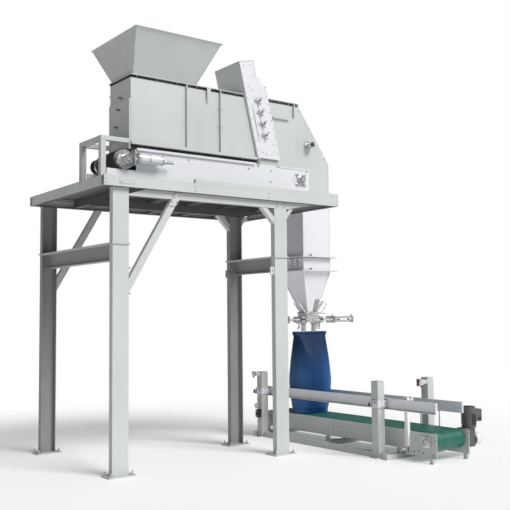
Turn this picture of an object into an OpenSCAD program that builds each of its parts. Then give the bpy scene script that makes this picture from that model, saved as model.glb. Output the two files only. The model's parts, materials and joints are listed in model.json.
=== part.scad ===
// Elevated belt-feed bag filling station with a take-away conveyor.
// Millimetres, +Z up. The origin is on the floor at the middle of the footprint.
// +X runs along the feeder from inlet to discharge, -Y is the operator's front side.

/* [Tower] */
// Left face of the left legs
tower_x = -1940; // [-1960:10:-1900]
// Distance between the left and right portals
portal_pitch = 2050; // [1950:10:2100]
// Front face of the front legs
tower_front = -170; // [-180:10:-160]
// Back face of the rear left leg
left_portal_back = 1710; // [1650:10:1720]
// Back face of the rear right leg
right_portal_back = 800; // [780:10:860]
// Width of a leg channel
leg_w = 180; // [160:10:200]
// Depth of a leg channel's flanges
leg_d = 70; // [60:5:80]
// Height of the left splice plate's top face
left_splice_z = 2321; // [2290:1:2350]
// Height of the right splice plate's top face
right_splice_z = 2250; // [2220:1:2300]

/* [Deck] */
// Left end of the deck
deck_left = -2062; // [-2070:1:-2050]
// Right end of the deck
deck_right = 1058; // [1000:1:1060]
// Front edge of the deck
deck_front = -220; // [-225:1:-210]
// Back edge of the deck
deck_back = 1730; // [1725:1:1740]
// Underside of the deck channels
deck_z = 2884; // [2860:1:2900]
// Height of the deck channels
deck_h = 100; // [80:5:110]

/* [Feeder] */
// Left end of the bunker casing
casing_left = -1400; // [-1410:1:-1380]
// Right end of the head casing and the duct
casing_right = 1525; // [1520:1:1530]
// Front face of the casing
casing_front = 475; // [460:1:480]
// Depth of the casing
casing_d = 500; // [490:5:520]
// Underside of the bunker casing
casing_z = 3490; // [3486:1:3492]
// Top of the casing
casing_top = 4285; // [4250:5:4300]
// Height of the hopper's rim
rim_z = 4735; // [4650:5:4800]
// Tilt of the levelling gate from upright
gate_tilt = 13.5; // [13:0.1:14]
// Radius of the feeder drums
feeder_drum_r = 110; // [105:1:112]
// Height of the feeder drums' axes
feeder_axis_z = 3304; // [3300:1:3306]

/* [Discharge] */
// Centre of the discharge and of the conveyor, along X
outlet_x = 1300; // [1295:1:1305]
// Centre of the filling spout, along Y
outlet_y = 660; // [650:1:670]
// Top of the bag
bag_top = 1362; // [1340:1:1366]
// Width of the filled bag
bag_w = 596; // [560:2:600]
// Thickness of the filled bag
bag_d = 460; // [400:5:470]

/* [Conveyor] */
// Height of the conveyor belt's top face
belt_top = 322; // [318:1:326]
// Width of the conveyor belt
belt_w = 460; // [440:5:465]
// Axis of the discharge drum, along Y
drive_y = -1560; // [-1570:1:-1550]
// Axis of the tail drum, along Y
tail_y = 1180; // [1170:1:1190]
// Height of the guide posts
post_h = 835; // [820:5:900]
// Side of a guide post
post_w = 100; // [80:5:100]

/* [Hidden] */
$fn = 48;

pale = [0.80, 0.83, 0.80];
stainless = [0.79, 0.80, 0.82];
dark = [0.12, 0.12, 0.13];
black_rubber = [0.06, 0.06, 0.06];
blue = [0.10, 0.24, 0.45];
green = [0.10, 0.42, 0.32];

// Running clearance of a shaft in its bore and gap of a belt round its drum
run = 0.05;
gap = 0.5;

// Gap left at a weld, so that each bar stays a solid of its own
weld_gap = 1;

// Tower sections
steel_t = 8;
plate_t = 15;
splice_overhang = 15;
foot_margin = 60;
anchor_r = 9;
anchor_edge = 30;
beam_h = 80;
portal_beam_h = 160;
haunch_r = 85;
leg_x = [tower_x, tower_x + portal_pitch];
portal_back = [left_portal_back, right_portal_back];
splice_z = [left_splice_z, right_splice_z];
deck_top = deck_z + deck_h + steel_t;
main_beam_end = leg_x[1] + 540;

// Casing
skin = 5;
flange_w = 30;
casing_back = casing_front + casing_d;
casing_mid = casing_front + casing_d / 2;
head_top_right = 1005;
head_knee_z = 3550;
head_floor_z = 3452;
duct_top = 3050;
side_frame_right = 1190;
side_frame_left = -1330;
side_frame_z = [3060, 3450];
guard_back = casing_back - 7;

// Levelling gate, in a frame whose Z leans back by gate_tilt
gate_foot = [357, 3462];
gate_len = 1250;
gate_w = [335, 277, 217];
gate_step = [930, 1030];
gate_front = casing_front - 36;
gate_cut_z = 3516;
gate_slot_x = 160;
blade_t = 10;
knob_z = [310, 455, 600, 745];
knob_x = 168;
function gate_x(z) = gate_foot[0] - (z - gate_foot[1]) * tan(gate_tilt);

// Feeder belt
feeder_belt_t = 10;
feeder_belt_w = 440;
head_x = 1044;
tail_x = -1480;
feeder_shaft_r = 25;

// Duct and funnel
duct_left = outlet_x - (casing_right - outlet_x);
duct_flange_z = [2315, 2136];
duct_flange_t = 14;
duct_flange_w = 70;
funnel_bottom = 1600;
spout_half = 70;
wall = 4;

// Bag spreader
rod_z = 1515;
rod_y = 60;
rod_r = 15;
block_half = 110;
carriage_w = 60;
carriage_gap = 12;
finger_r = 30;
finger_x = 85;
rail_half = 380;
piston_r = 30;
piston_rod_r = 10;
cylinder_x = [outlet_x + rail_half + 20, 2062];

// Conveyor
drum_r = 100;
conveyor_belt_t = 4;
drum_z = belt_top - conveyor_belt_t - gap - drum_r;
drum_shaft_r = 20;
frame_half = belt_w / 2 + 25;
frame_h = 200;
frame_t = 8;
post_half = 355;
post_front_y = [-1040, 1085];
near_rail_z = [528, 648];
far_rail_z = [478, 598];
rail_t = 30;
rail_gauge = 3;
rail_inner = 320;
collar_t = 12;
collar_gap = 0.5;
near_rail_y = [-1770, 1215];
far_rail_y = [-1560, 1215];

// ---------- shared shapes ----------

module block(lo, hi) {
    translate(lo) cube(hi - lo);
}

// Outline in X and Z, extruded from y0 to y1
module plate_xz(outline, y0, y1) {
    translate([0, y1, 0]) rotate([90, 0, 0]) linear_extrude(y1 - y0) polygon(outline);
}

// Outline in Y and Z, extruded from x0 to x1
module plate_yz(outline, x0, x1) {
    translate([x0, 0, 0]) rotate([90, 0, 90]) linear_extrude(x1 - x0) polygon(outline);
}

module rod_x(x0, x1, y, z, r) {
    translate([x0, y, z]) rotate([0, 90, 0]) cylinder(h = x1 - x0, r = r);
}

module rod_y(x, y0, y1, z, r) {
    translate([x, y0, z]) rotate([-90, 0, 0]) cylinder(h = y1 - y0, r = r);
}

module channel_outline(w, d, t) {
    difference() {
        square([w, d]);
        translate([t, t]) square([w - 2 * t, d]);
    }
}

// Upright channel; opening 1 faces +Y from a front web, -1 faces -Y from a back web
module upright_channel(x, y, z0, z1, opening) {
    turn = opening > 0 ? 0 : 180;
    shift = opening > 0 ? 0 : leg_w;
    translate([x + shift, y, z0]) rotate([0, 0, turn]) linear_extrude(z1 - z0)
        channel_outline(leg_w, leg_d, steel_t);
}

// Sloping strut from an upright face at p to a level face at q, both in X and Z
module strut(p, q, w, y0, y1) {
    slope = atan2(q[1] - p[1], abs(q[0] - p[0]));
    rise = w / (2 * cos(slope));
    run_out = w / (2 * sin(slope));
    side = q[0] > p[0] ? 1 : -1;
    plate_xz([
        [p[0], p[1] - rise], [q[0] + side * run_out, q[1]],
        [q[0] - side * run_out, q[1]], [p[0], p[1] + rise]
    ], y0, y1);
}

// Four-sided taper between two rectangles given as [x0, x1, y0, y1]
module taper(a, za, b, zb) {
    polyhedron(
        points = [
            [a[0], a[2], za], [a[1], a[2], za], [a[1], a[3], za], [a[0], a[3], za],
            [b[0], b[2], zb], [b[1], b[2], zb], [b[1], b[3], zb], [b[0], b[3], zb]
        ],
        faces = [[0, 1, 2, 3], [7, 6, 5, 4], [0, 4, 5, 1], [1, 5, 6, 2], [2, 6, 7, 3], [3, 7, 4, 0]]
    );
}

function inset(r, t) = [r[0] + t, r[1] - t, r[2] + t, r[3] - t];

// Belt round two drums whose axes lie along the extrusion, a distance apart on the outline's X
module belt_outline(distance, inner_r, t) {
    difference() {
        belt_disc(distance, inner_r + t);
        belt_disc(distance, inner_r);
    }
}

module belt_disc(distance, r) {
    circle(r, $fn = 96);
    translate([distance, 0]) circle(r, $fn = 96);
    translate([0, -r]) square([distance, 2 * r]);
}

// Hollow drum on a through shaft, along +Z from the origin
module drum(face, r, shell, shaft_r, before, after) {
    rotate_extrude($fn = 96) polygon([
        [0, -before], [shaft_r, -before], [shaft_r, shell], [r - shell, shell],
        [r - shell, 0], [r, 0], [r, face], [r - shell, face],
        [r - shell, face - shell], [shaft_r, face - shell], [shaft_r, face + after], [0, face + after]
    ]);
}

module square_tube_z(x0, x1, y0, y1, z0, z1, t) {
    difference() {
        block([x0, y0, z0], [x1, y1, z1]);
        block([x0 + t, y0 + t, z0 - 1], [x1 - t, y1 - t, z1 + 1]);
    }
}

module in_gate_frame() {
    translate([gate_foot[0], 0, gate_foot[1]]) rotate([0, -gate_tilt, 0]) children();
}

// ---------- tower ----------

module lower_columns() {
    color(pale) for (i = [0, 1]) {
        upright_channel(leg_x[i], tower_front, plate_t, splice_z[i] - plate_t, 1);
        upright_channel(leg_x[i], portal_back[i], plate_t, splice_z[i] - plate_t, -1);
    }
    color(pale) for (y = [tower_front + steel_t, right_portal_back - leg_d + steel_t])
        lug_bracket(y);
}

// Small drilled lug on the inner side of a right leg
module lug_bracket(y) {
    lug = [60, 50, 90];
    lug_z = 2040;
    difference() {
        block([leg_x[1] - lug[0], y, lug_z], [leg_x[1], y + steel_t, lug_z + lug[2]]);
        rod_y(leg_x[1] - lug[0] / 2, y - 1, y + steel_t + 1, lug_z + lug[2] / 2, anchor_r);
    }
}

module upper_columns() {
    left_top = deck_z;
    right_top = deck_z - beam_h;
    color(pale) {
        upright_channel(leg_x[0], tower_front, left_splice_z, left_top, 1);
        upright_channel(leg_x[0], left_portal_back, left_splice_z, left_top, -1);
        upright_channel(leg_x[1], tower_front, right_splice_z, right_top, 1);
        upright_channel(leg_x[1], right_portal_back, right_splice_z, right_top, -1);
    }
}

// Each foot's low corner in X and Y
function foot_corner(i, front) = [
    leg_x[i] - foot_margin,
    front ? tower_front - foot_margin : portal_back[i] - leg_d - foot_margin
];
foot_size = [leg_w + 2 * foot_margin, leg_d + 2 * foot_margin];

module at_feet() {
    for (i = [0, 1], front = [true, false])
        translate(concat(foot_corner(i, front), 0)) children();
}

module at_anchors() {
    for (x = [anchor_edge, foot_size[0] - anchor_edge], y = [anchor_edge, foot_size[1] - anchor_edge])
        translate([x, y, 0]) children();
}

module base_plates() {
    color(pale) at_feet() difference() {
        cube([foot_size[0], foot_size[1], plate_t]);
        at_anchors() translate([0, 0, -1]) cylinder(h = plate_t + 2, r = anchor_r);
    }
}

module portal_beams() {
    color(pale) for (i = [0, 1]) portal_beam(
        leg_x[i] + leg_w / 2, tower_front + leg_d, portal_back[i] - leg_d, splice_z[i] - plate_t);
}

// I-section beam along Y with a rounded haunch plate at each end
module portal_beam(x, y0, y1, top) {
    flange_half = 50;
    web_half = 4;
    low = top - portal_beam_h;
    block([x - flange_half, y0, top - steel_t], [x + flange_half, y1, top]);
    block([x - flange_half, y0, low], [x + flange_half, y1, low + steel_t]);
    block([x - web_half, y0, low + steel_t], [x + web_half, y1, top - steel_t]);
    for (end = [y0, y1]) haunch(x, end, end == y0 ? 1 : -1, low - weld_gap, web_half);
}

module haunch(x, y, side, top, half_t) {
    difference() {
        block([x - half_t, min(y, y + side * haunch_r), top - haunch_r],
            [x + half_t, max(y, y + side * haunch_r), top]);
        rod_x(x - half_t - 1, x + half_t + 1, y + side * haunch_r, top - haunch_r, haunch_r - steel_t);
    }
}

module portal_plates() {
    color(pale) for (i = [0, 1]) block(
        [leg_x[i] - splice_overhang, tower_front - splice_overhang, splice_z[i] - plate_t],
        [leg_x[i] + leg_w + splice_overhang, portal_back[i] + splice_overhang, splice_z[i]]);
}

// Channel beams that run under the deck along X, with a tapered end beside each leg
module main_beams() {
    start = leg_x[0] + leg_w;
    low = deck_z - beam_h;
    taper_start = leg_x[1] + leg_w;
    for (y = [tower_front, right_portal_back - leg_d]) color(pale) difference() {
        block([start, y, low], [main_beam_end, y + leg_d, deck_z]);
        block([start - 1, y + steel_t, low + steel_t], [main_beam_end + 1, y + leg_d + 1, deck_z - steel_t]);
        plate_xz([[start - 1, low + 18], [start + 192, deck_z + 1], [start - 1, deck_z + 1]],
            y - 1, y + leg_d + 1);
        plate_xz([[taper_start, low - 1], [main_beam_end + 1, low - 1], [main_beam_end + 1, deck_z - 12]],
            y - 1, y + leg_d + 1);
    }
}

// ---------- deck ----------

deck_flange = 60;

module channel_along_x(x0, x1, y_web, side) {
    inner = y_web + side * deck_flange;
    cut = [y_web + side * steel_t, inner + side];
    difference() {
        block([x0, min(y_web, inner), deck_z], [x1, max(y_web, inner), deck_z + deck_h]);
        block([x0 - 1, min(cut), deck_z + steel_t], [x1 + 1, max(cut), deck_z + deck_h - steel_t]);
    }
}

module channel_along_y(x_web, side, y0, y1) {
    inner = x_web + side * deck_flange;
    cut = [x_web + side * steel_t, inner + side];
    difference() {
        block([min(x_web, inner), y0, deck_z], [max(x_web, inner), y1, deck_z + deck_h]);
        block([min(cut), y0 - 1, deck_z + steel_t], [max(cut), y1 + 1, deck_z + deck_h - steel_t]);
    }
}

module deck_channels() {
    toe_start = -990;
    toe_h = 43;
    toe_w = 40;
    color(pale) {
        channel_along_x(deck_left, deck_right, deck_front, 1);
        channel_along_x(deck_left, deck_right, deck_back, -1);
        for (end = [[deck_left, 1], [deck_right, -1]]) channel_along_y(end[0], end[1],
            deck_front + deck_flange + weld_gap, deck_back - deck_flange - weld_gap);
        block([toe_start, deck_front, deck_top], [deck_right, deck_front + toe_w, deck_top + toe_h]);
    }
}

module deck_cross_members() {
    half_w = 30;
    bays = 6;
    first = deck_left + deck_flange;
    pitch = (deck_right - deck_flange - first) / bays;
    color(dark) for (i = [1 : bays - 1]) translate([first + i * pitch, 0, 0]) difference() {
        block([-half_w, deck_front + deck_flange, deck_z + steel_t],
            [half_w, deck_back - deck_flange, deck_z + deck_h]);
        block([steel_t - half_w, deck_front, deck_z + 2 * steel_t],
            [half_w + 1, deck_back, deck_z + deck_h - steel_t]);
    }
}

module deck_plate() {
    color(pale) block([deck_left, deck_front, deck_z + deck_h], [deck_right, deck_back, deck_top]);
}

module braces() {
    brace_w = 75;
    inner_x = leg_x[0] + leg_w;
    long_run = 550;
    front = [tower_front + 4, tower_front + leg_d - 4];
    back = [left_portal_back - leg_d + 4, left_portal_back - 4];
    plate_reach = 45;
    color(pale) {
        strut([inner_x, 1880], [inner_x + long_run, deck_z - beam_h], brace_w, front[0], front[1]);
        strut([inner_x, 1960], [inner_x + long_run, deck_z], brace_w, back[0], back[1]);
        for (y = [tower_front, right_portal_back - leg_d]) knee_pair(y + 4, y + leg_d - 4);
        plate_xz([
            [inner_x + long_run - plate_reach - 44, deck_z - beam_h - 70],
            [inner_x + long_run + plate_reach - 44, deck_z - beam_h - 70],
            [inner_x + long_run + plate_reach + 42, deck_z - 6],
            [inner_x + long_run - plate_reach + 42, deck_z - 6]
        ], tower_front - steel_t, tower_front);
    }
}

// Knee braces on both sides of a right leg, up to the main beam
module knee_pair(y0, y1) {
    inner_knee = 140;
    outer_knee = 82;
    top = deck_z - beam_h;
    strut([leg_x[1], top - inner_knee], [leg_x[1] - inner_knee, top], 58, y0, y1);
    strut([leg_x[1] + leg_w, top - outer_knee], [leg_x[1] + leg_w + outer_knee - 10, top + 4], 44, y0, y1);
}

// Frame of posts and rails round the tail of the feeder
module tail_guard() {
    post = 60;
    left = -1760;
    rail_low = 3500;
    rail_high = rail_low + 50;
    panel_left = casing_left - 18;
    color(pale) {
        for (y = [casing_front, guard_back])
            block([left, y, deck_top], [left + post, y + post, rail_low - weld_gap]);
        block([left, casing_front, rail_low], [left + post, guard_back + post, rail_high]);
        block([left + post + weld_gap, casing_front, rail_low], [panel_left, casing_front + post, rail_high]);
        block([left + post + weld_gap, guard_back, rail_low], [casing_left, guard_back + post, rail_high]);
    }
}

// ---------- bunker and hopper ----------

module inlet_hopper() {
    base = [casing_left + 30, -540, casing_front, casing_back];
    reach = 300;
    rim = [-1488, -375, casing_mid - 550, casing_mid + 550];
    lip = 14;
    color(pale) {
        difference() {
            taper(base, casing_top + skin, rim, rim_z);
            taper(inset(base, skin), casing_top + skin - 0.01, inset(rim, skin), rim_z + 0.01);
        }
        square_tube_z(base[0] - flange_w / 2, base[1] + flange_w / 2, base[2] - flange_w / 2,
            base[3] + flange_w / 2, casing_top + skin, casing_top + 2 * skin, flange_w / 2 + skin);
        square_tube_z(rim[0] - lip, rim[1] + lip, rim[2] - lip, rim[3] + lip,
            rim_z - skin, rim_z, lip + skin - 1);
    }
}

// The bunker's long sides; the right edge follows the gate and clears its foot
module bunker_side_panels() {
    foot_left = gate_x(casing_z) - 6;
    foot_top = gate_cut_z + 12;
    outline = [
        [casing_left, casing_z], [foot_left, casing_z], [foot_left, foot_top],
        [gate_x(foot_top) + gate_slot_x - 8, foot_top],
        [gate_x(casing_top) + gate_slot_x - 8, casing_top], [casing_left, casing_top]
    ];
    color(pale) {
        plate_xz(outline, casing_front, casing_front + skin);
        plate_xz(outline, casing_back - skin, casing_back);
    }
}

module bunker_end_panel() {
    step_z = 4010;
    low = 3436;
    color(pale) {
        block([casing_left, casing_front + skin, casing_z], [casing_left + skin, casing_back - skin, casing_top]);
        block([casing_left - 18, casing_front + 2, low], [casing_left, guard_back - 1, step_z]);
    }
}

// Flanges along the casing and the stiffeners of its sides
module casing_flanges() {
    rib_x = [-682, -210];
    rib_w = 12;
    bottom_h = 34;
    top_t = 8;
    gate_left = gate_x(casing_z + bottom_h);
    color(pale) {
        for (side = [[casing_front - flange_w, casing_front], [casing_back, casing_back + flange_w]]) {
            block([casing_left, side[0], casing_z], [gate_left - 6, side[1], casing_z + bottom_h]);
            block([casing_left, side[0], casing_top - top_t], [gate_x(casing_top) - 20, side[1], casing_top]);
            for (x = rib_x) block([x, side[0], casing_z + bottom_h + weld_gap],
                [x + rib_w, side[1], casing_top - top_t - weld_gap]);
            block([927, side[0], 4095], [939, side[1], casing_top - 10]);
            block([590, side[0], 4050], [850, side[1], 4062]);
        }
        plate_xz([[-400, casing_top - top_t - weld_gap], [-340, casing_top - top_t - weld_gap],
            [-395, casing_top - 200]], casing_front - flange_w, casing_front - flange_w + 8);
    }
}

module roof_plate() {
    start = -540 + flange_w / 2;
    color(pale) {
        block([start + 2, casing_front, casing_top], [gate_x(casing_top) - 6, casing_back, casing_top + skin]);
        block([gate_x(casing_top) + gate_w[2] + 12, casing_front, casing_top],
            [head_top_right, casing_back, casing_top + skin]);
    }
}

// Rubber skirts that close the gap between the bunker and the feeder belt
module skirt_seals() {
    thick = 8;
    inset_y = 9;
    for (y = [casing_front + inset_y, casing_back - inset_y - thick]) color(black_rubber) block(
        [casing_left + 6, y, side_frame_z[1] - 22], [gate_x(casing_z) - 10, y + thick, casing_z - 1]);
}

// Slanted housing of the levelling gate: a stepped front plate and a box above the roof
module gate_housing() {
    box_z = 860;
    box_w = gate_w[2];
    front_t = 12;
    deep = [gate_front + front_t, casing_back];
    function cut_at(x) = (gate_cut_z - gate_foot[1] - x * sin(gate_tilt)) / cos(gate_tilt);
    outline = [
        [0, cut_at(0)], [gate_w[0], cut_at(gate_w[0])], [gate_w[0], gate_step[0]], [gate_w[1], gate_step[0]],
        [gate_w[1], gate_step[1]], [gate_w[2], gate_step[1]], [gate_w[2], gate_len], [0, gate_len]
    ];
    color(stainless) in_gate_frame() {
        difference() {
            plate_xz(outline, gate_front, gate_front + front_t);
            for (z = knob_z) rod_y(knob_x, gate_front - 1, gate_front + front_t + 1, z, 8 + run);
        }
        block([0, deep[0], 60], [front_t, casing_front - 1, box_z]);
        block([gate_w[0] - front_t, deep[0], 0], [gate_w[0], casing_front - 1, box_z]);
    }
    color(pale) in_gate_frame() {
        for (x = [0, box_w - skin]) block([x, deep[0], box_z + 60 * (x > 0 ? 1 : 0)], [x + skin, deep[1], gate_len]);
        block([skin, deep[1] - skin, box_z + 60], [box_w - skin, deep[1], gate_len]);
        block([skin, deep[0], gate_len - skin], [box_w - skin, deep[1] - skin, gate_len]);
    }
}

// Blade that levels the product on the belt; it slides up inside the housing
module gate_blade() {
    blade_low = 110;
    blade_high = 930;
    color(stainless) in_gate_frame() block(
        [gate_slot_x, casing_front + 12, blade_low],
        [gate_slot_x + blade_t, casing_back - 12, blade_high]);
}

// Three-armed clamping knob on a stud through the front plate
module gate_knob(i) {
    arm = 46;
    arm_w = 18;
    hub_r = 20;
    color("silver") in_gate_frame() translate([knob_x, gate_front, knob_z[i]]) rotate([90, 0, 0]) {
        translate([0, 0, -26]) cylinder(h = 56, r = 8);
        translate([0, 0, 1]) cylinder(h = 34, r = hub_r);
        for (a = [30 : 120 : 270]) rotate([0, 0, a]) translate([0, -arm_w / 2, 18]) cube([arm, arm_w, 16]);
        for (a = [30 : 120 : 270]) rotate([0, 0, a]) translate([arm, 0, 14]) cylinder(h = 24, r = 13);
    }
}

module gate_knob_1() { gate_knob(0); }
module gate_knob_2() { gate_knob(1); }
module gate_knob_3() { gate_knob(2); }
module gate_knob_4() { gate_knob(3); }

// ---------- head casing ----------

sensor_at = [1169, 3760];

module head_outline_plate(y0, y1) {
    foot_left = gate_x(casing_z);
    foot_top = gate_cut_z + 8;
    plate_xz([
        [foot_left, head_floor_z], [side_frame_right + 1, head_floor_z],
        [side_frame_right + 1, duct_top], [casing_right, duct_top], [casing_right, head_knee_z],
        [head_top_right, casing_top], [gate_x(casing_top) + gate_slot_x + 22, casing_top],
        [gate_x(foot_top) + gate_slot_x + 22, foot_top], [foot_left, foot_top]
    ], y0, y1);
}

module head_side_panels() {
    color(pale) {
        difference() {
            head_outline_plate(casing_front, casing_front + skin);
            rod_y(sensor_at[0], casing_front - 1, casing_front + skin + 1, sensor_at[1], 12);
        }
        head_outline_plate(casing_back - skin, casing_back);
    }
}

// Sloping lid and upright end wall of the head casing
module head_cover() {
    lean = atan2(casing_top - head_knee_z, casing_right - head_top_right);
    off = [skin * sin(lean), skin * cos(lean)];
    color(pale) {
        plate_xz([
            [head_top_right, casing_top], [head_top_right - off[0], casing_top - off[1]],
            [casing_right - off[0], head_knee_z - off[1]], [casing_right, head_knee_z]
        ], casing_front + skin, casing_back - skin);
        block([casing_right - skin, casing_front + skin, duct_top],
            [casing_right, casing_back - skin, head_knee_z - 10]);
    }
}

module sensor_housing() {
    color("silver") difference() {
        union() {
            rod_y(sensor_at[0], casing_front - 12, casing_front, sensor_at[1], 48);
            rod_y(sensor_at[0], casing_front - 90, casing_front - 12, sensor_at[1], 34);
        }
        rod_y(sensor_at[0], casing_front - 50, casing_front + 1, sensor_at[1], 8 + run);
    }
}

// Rotary paddle that stalls when product backs up in the head casing
module sensor_paddle() {
    reach = 120;
    color("silver") {
        rod_y(sensor_at[0], casing_front - 40, casing_front + reach, sensor_at[1], 8);
        block([sensor_at[0] - 40, casing_front + reach, sensor_at[1] - 30],
            [sensor_at[0] + 40, casing_front + reach + 4, sensor_at[1] + 30]);
        rod_y(sensor_at[0], casing_front + reach, casing_front + reach + 5, sensor_at[1], 14);
    }
}

// ---------- belt feeder ----------

frame_skin = 8;
side_frame_y = [casing_front, casing_back - frame_skin];

module feeder_feet() {
    foot = 90;
    color(pale) for (x = [side_frame_left + 60, -300, 700], y = [casing_front, casing_back - foot])
        block([x, y, deck_top], [x + foot, y + foot, side_frame_z[0]]);
}

// Side plates of the belt frame with bores for the head shaft and a low bar under the tail drum
module belt_side_frames() {
    lip = 26;
    lip_end = 315;
    small_lip = 8;
    bar = [-1690, 25, 3196];
    color(stainless) for (i = [0, 1]) {
        y0 = side_frame_y[i];
        lip_y = i == 0 ? [y0 - lip, y0] : [y0 + frame_skin, y0 + frame_skin + lip];
        bar_y = i == 0 ? [y0, y0 + bar[1]] : [y0 + frame_skin - bar[1], y0 + frame_skin];
        difference() {
            block([side_frame_left, y0, side_frame_z[0]], [side_frame_right, y0 + frame_skin, side_frame_z[1]]);
            rod_y(head_x, y0 - 1, y0 + frame_skin + 1, feeder_axis_z, feeder_shaft_r + 4);
        }
        block([side_frame_left, lip_y[0], side_frame_z[1] - lip], [lip_end, lip_y[1], side_frame_z[1]]);
        block([bar[0], bar_y[0], side_frame_z[0]], [side_frame_left, bar_y[1], bar[2]]);
    }
    color(stainless) block([700, side_frame_y[0] - small_lip, side_frame_z[1] - 19],
        [side_frame_right, side_frame_y[0], side_frame_z[1]]);
}

module feeder_belt() {
    color(black_rubber) translate([tail_x, casing_mid + feeder_belt_w / 2, feeder_axis_z]) rotate([90, 0, 0])
        linear_extrude(feeder_belt_w) belt_outline(head_x - tail_x, feeder_drum_r + gap, feeder_belt_t);
}

module feeder_drum_at(x, before, after) {
    color("silver") translate([x, casing_mid - feeder_belt_w / 2, feeder_axis_z]) rotate([-90, 0, 0])
        drum(feeder_belt_w, feeder_drum_r, 12, feeder_shaft_r, before, after);
}

module head_drum() { feeder_drum_at(head_x, 90, 130); }
module tail_drum() { feeder_drum_at(tail_x, 145, 145); }

// Four-armed flange bearing along -Y from a mounting face
module flange_bearing(x, y, side, depth) {
    arm = 105;
    y_far = y + side * depth;
    y_thin = y + side * 14;
    difference() {
        union() {
            rod_y(x, min(y, y_far), max(y, y_far), feeder_axis_z, 52);
            for (a = [45 : 90 : 315]) translate([x, 0, feeder_axis_z]) rotate([0, a, 0])
                block([0, min(y, y_thin), -18], [arm, max(y, y_thin), 18]);
        }
        rod_y(x, min(y, y_far) - 1, max(y, y_far) + 1, feeder_axis_z, feeder_shaft_r + run);
    }
}

module head_bearings() {
    color("silver") {
        flange_bearing(head_x, casing_front, -1, 48);
        flange_bearing(head_x, casing_back, 1, 48);
    }
}

// Geometry of the take-up on one side, mirrored about the casing's middle
takeup_gap = 1;
takeup_disc = 40;
takeup_housing = 70;
takeup_plate_x = tail_x + 55;
takeup_plate_t = 14;
takeup_y = casing_front - 100;
takeup_x = [-1368, -1056, -912];
takeup_r = 55;
takeup_rod_r = 17;

module on_both_takeups() {
    children();
    translate([0, 2 * casing_mid, 0]) mirror([0, 1, 0]) children();
}

// Sliding bearings of the tail drum: a round cover with a bearing housing on it
module tail_bearings() {
    disc_y = [casing_front - takeup_gap - takeup_disc, casing_front - takeup_gap];
    housing_y = disc_y[0] - takeup_housing;
    color("silver") on_both_takeups() difference() {
        union() {
            rod_y(tail_x, disc_y[0], disc_y[1], feeder_axis_z, 104);
            rod_y(tail_x, housing_y, disc_y[0], feeder_axis_z, 54);
            block([tail_x, housing_y + 8, feeder_axis_z - 46], [takeup_plate_x, disc_y[0], feeder_axis_z + 46]);
        }
        rod_y(tail_x, housing_y - 1, disc_y[1] + 1, feeder_axis_z, feeder_shaft_r + run);
    }
}

// Spring housings bolted to the side frames, each guiding a take-up rod
module takeup_cylinders() {
    axis_z = feeder_axis_z + 12;
    color(stainless) on_both_takeups() difference() {
        union() {
            rod_x(takeup_x[0], takeup_x[1], takeup_y, axis_z, takeup_r);
            block([takeup_x[0] + 60, takeup_y, axis_z - 32], [takeup_x[1] - 30, casing_front, axis_z + 32]);
        }
        rod_x(takeup_x[0] - 1, takeup_x[1] + 1, takeup_y, feeder_axis_z, takeup_rod_r + run);
    }
}

// Push plates and rods that carry the tail bearings
module takeup_rods() {
    plate = [takeup_plate_x, takeup_plate_x + takeup_plate_t];
    color("silver") on_both_takeups() {
        block([plate[0], takeup_y - 52, feeder_axis_z - 76],
            [plate[1], casing_front - takeup_gap - takeup_disc - 1, feeder_axis_z + 96]);
        rod_x(plate[1], takeup_x[2], takeup_y, feeder_axis_z, takeup_rod_r);
    }
}

// Hollow-shaft gear unit on the rear end of the head shaft with its motor lying along -X
module feeder_gearmotor() {
    y0 = casing_back + 50;
    box = 105;
    motor_r = 80;
    color(dark) {
        difference() {
            block([head_x - box, y0, feeder_axis_z - box], [head_x + box, y0 + 130, feeder_axis_z + box]);
            rod_y(head_x, y0 - 1, y0 + 131, feeder_axis_z, feeder_shaft_r + run);
        }
        rod_x(head_x - box - 330, head_x - box, y0 + 80, feeder_axis_z + 10, motor_r);
        block([head_x - box - 220, y0 + 30, feeder_axis_z + 70], [head_x - box - 90, y0 + 130, feeder_axis_z + 135]);
    }
}

// ---------- discharge ----------

duct_rect = [duct_left, casing_right, casing_front, casing_back];

// Four butted bars round the duct
module flange_frame(z) {
    r = duct_rect;
    w = duct_flange_w;
    block([r[0] - w, r[2] - w, z], [r[1] + w, r[2], z + duct_flange_t]);
    block([r[0] - w, r[3], z], [r[1] + w, r[3] + w, z + duct_flange_t]);
    block([r[0] - w, r[2], z], [r[0], r[3], z + duct_flange_t]);
    block([r[1], r[2], z], [r[1] + w, r[3], z + duct_flange_t]);
}

module discharge_duct() {
    color(stainless) {
        square_tube_z(duct_rect[0], duct_rect[1], duct_rect[2], duct_rect[3], duct_flange_z[0], duct_top, wall);
        flange_frame(duct_flange_z[0]);
    }
}

module duct_spool() {
    color(stainless) square_tube_z(duct_rect[0], duct_rect[1], duct_rect[2], duct_rect[3],
        duct_flange_z[1] + duct_flange_t, duct_flange_z[0], wall);
}

module weigh_funnel() {
    low = [outlet_x - spout_half, outlet_x + spout_half, outlet_y - spout_half, outlet_y + spout_half];
    top_z = duct_flange_z[1] + duct_flange_t;
    color(stainless) {
        difference() {
            taper(low, funnel_bottom, duct_rect, top_z);
            taper(inset(low, wall), funnel_bottom - 0.01, inset(duct_rect, wall), top_z + 0.01);
        }
        flange_frame(duct_flange_z[1]);
    }
}

dust_tilt = 40;
dust_foot = [outlet_x + 150, outlet_y - 20];

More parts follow.
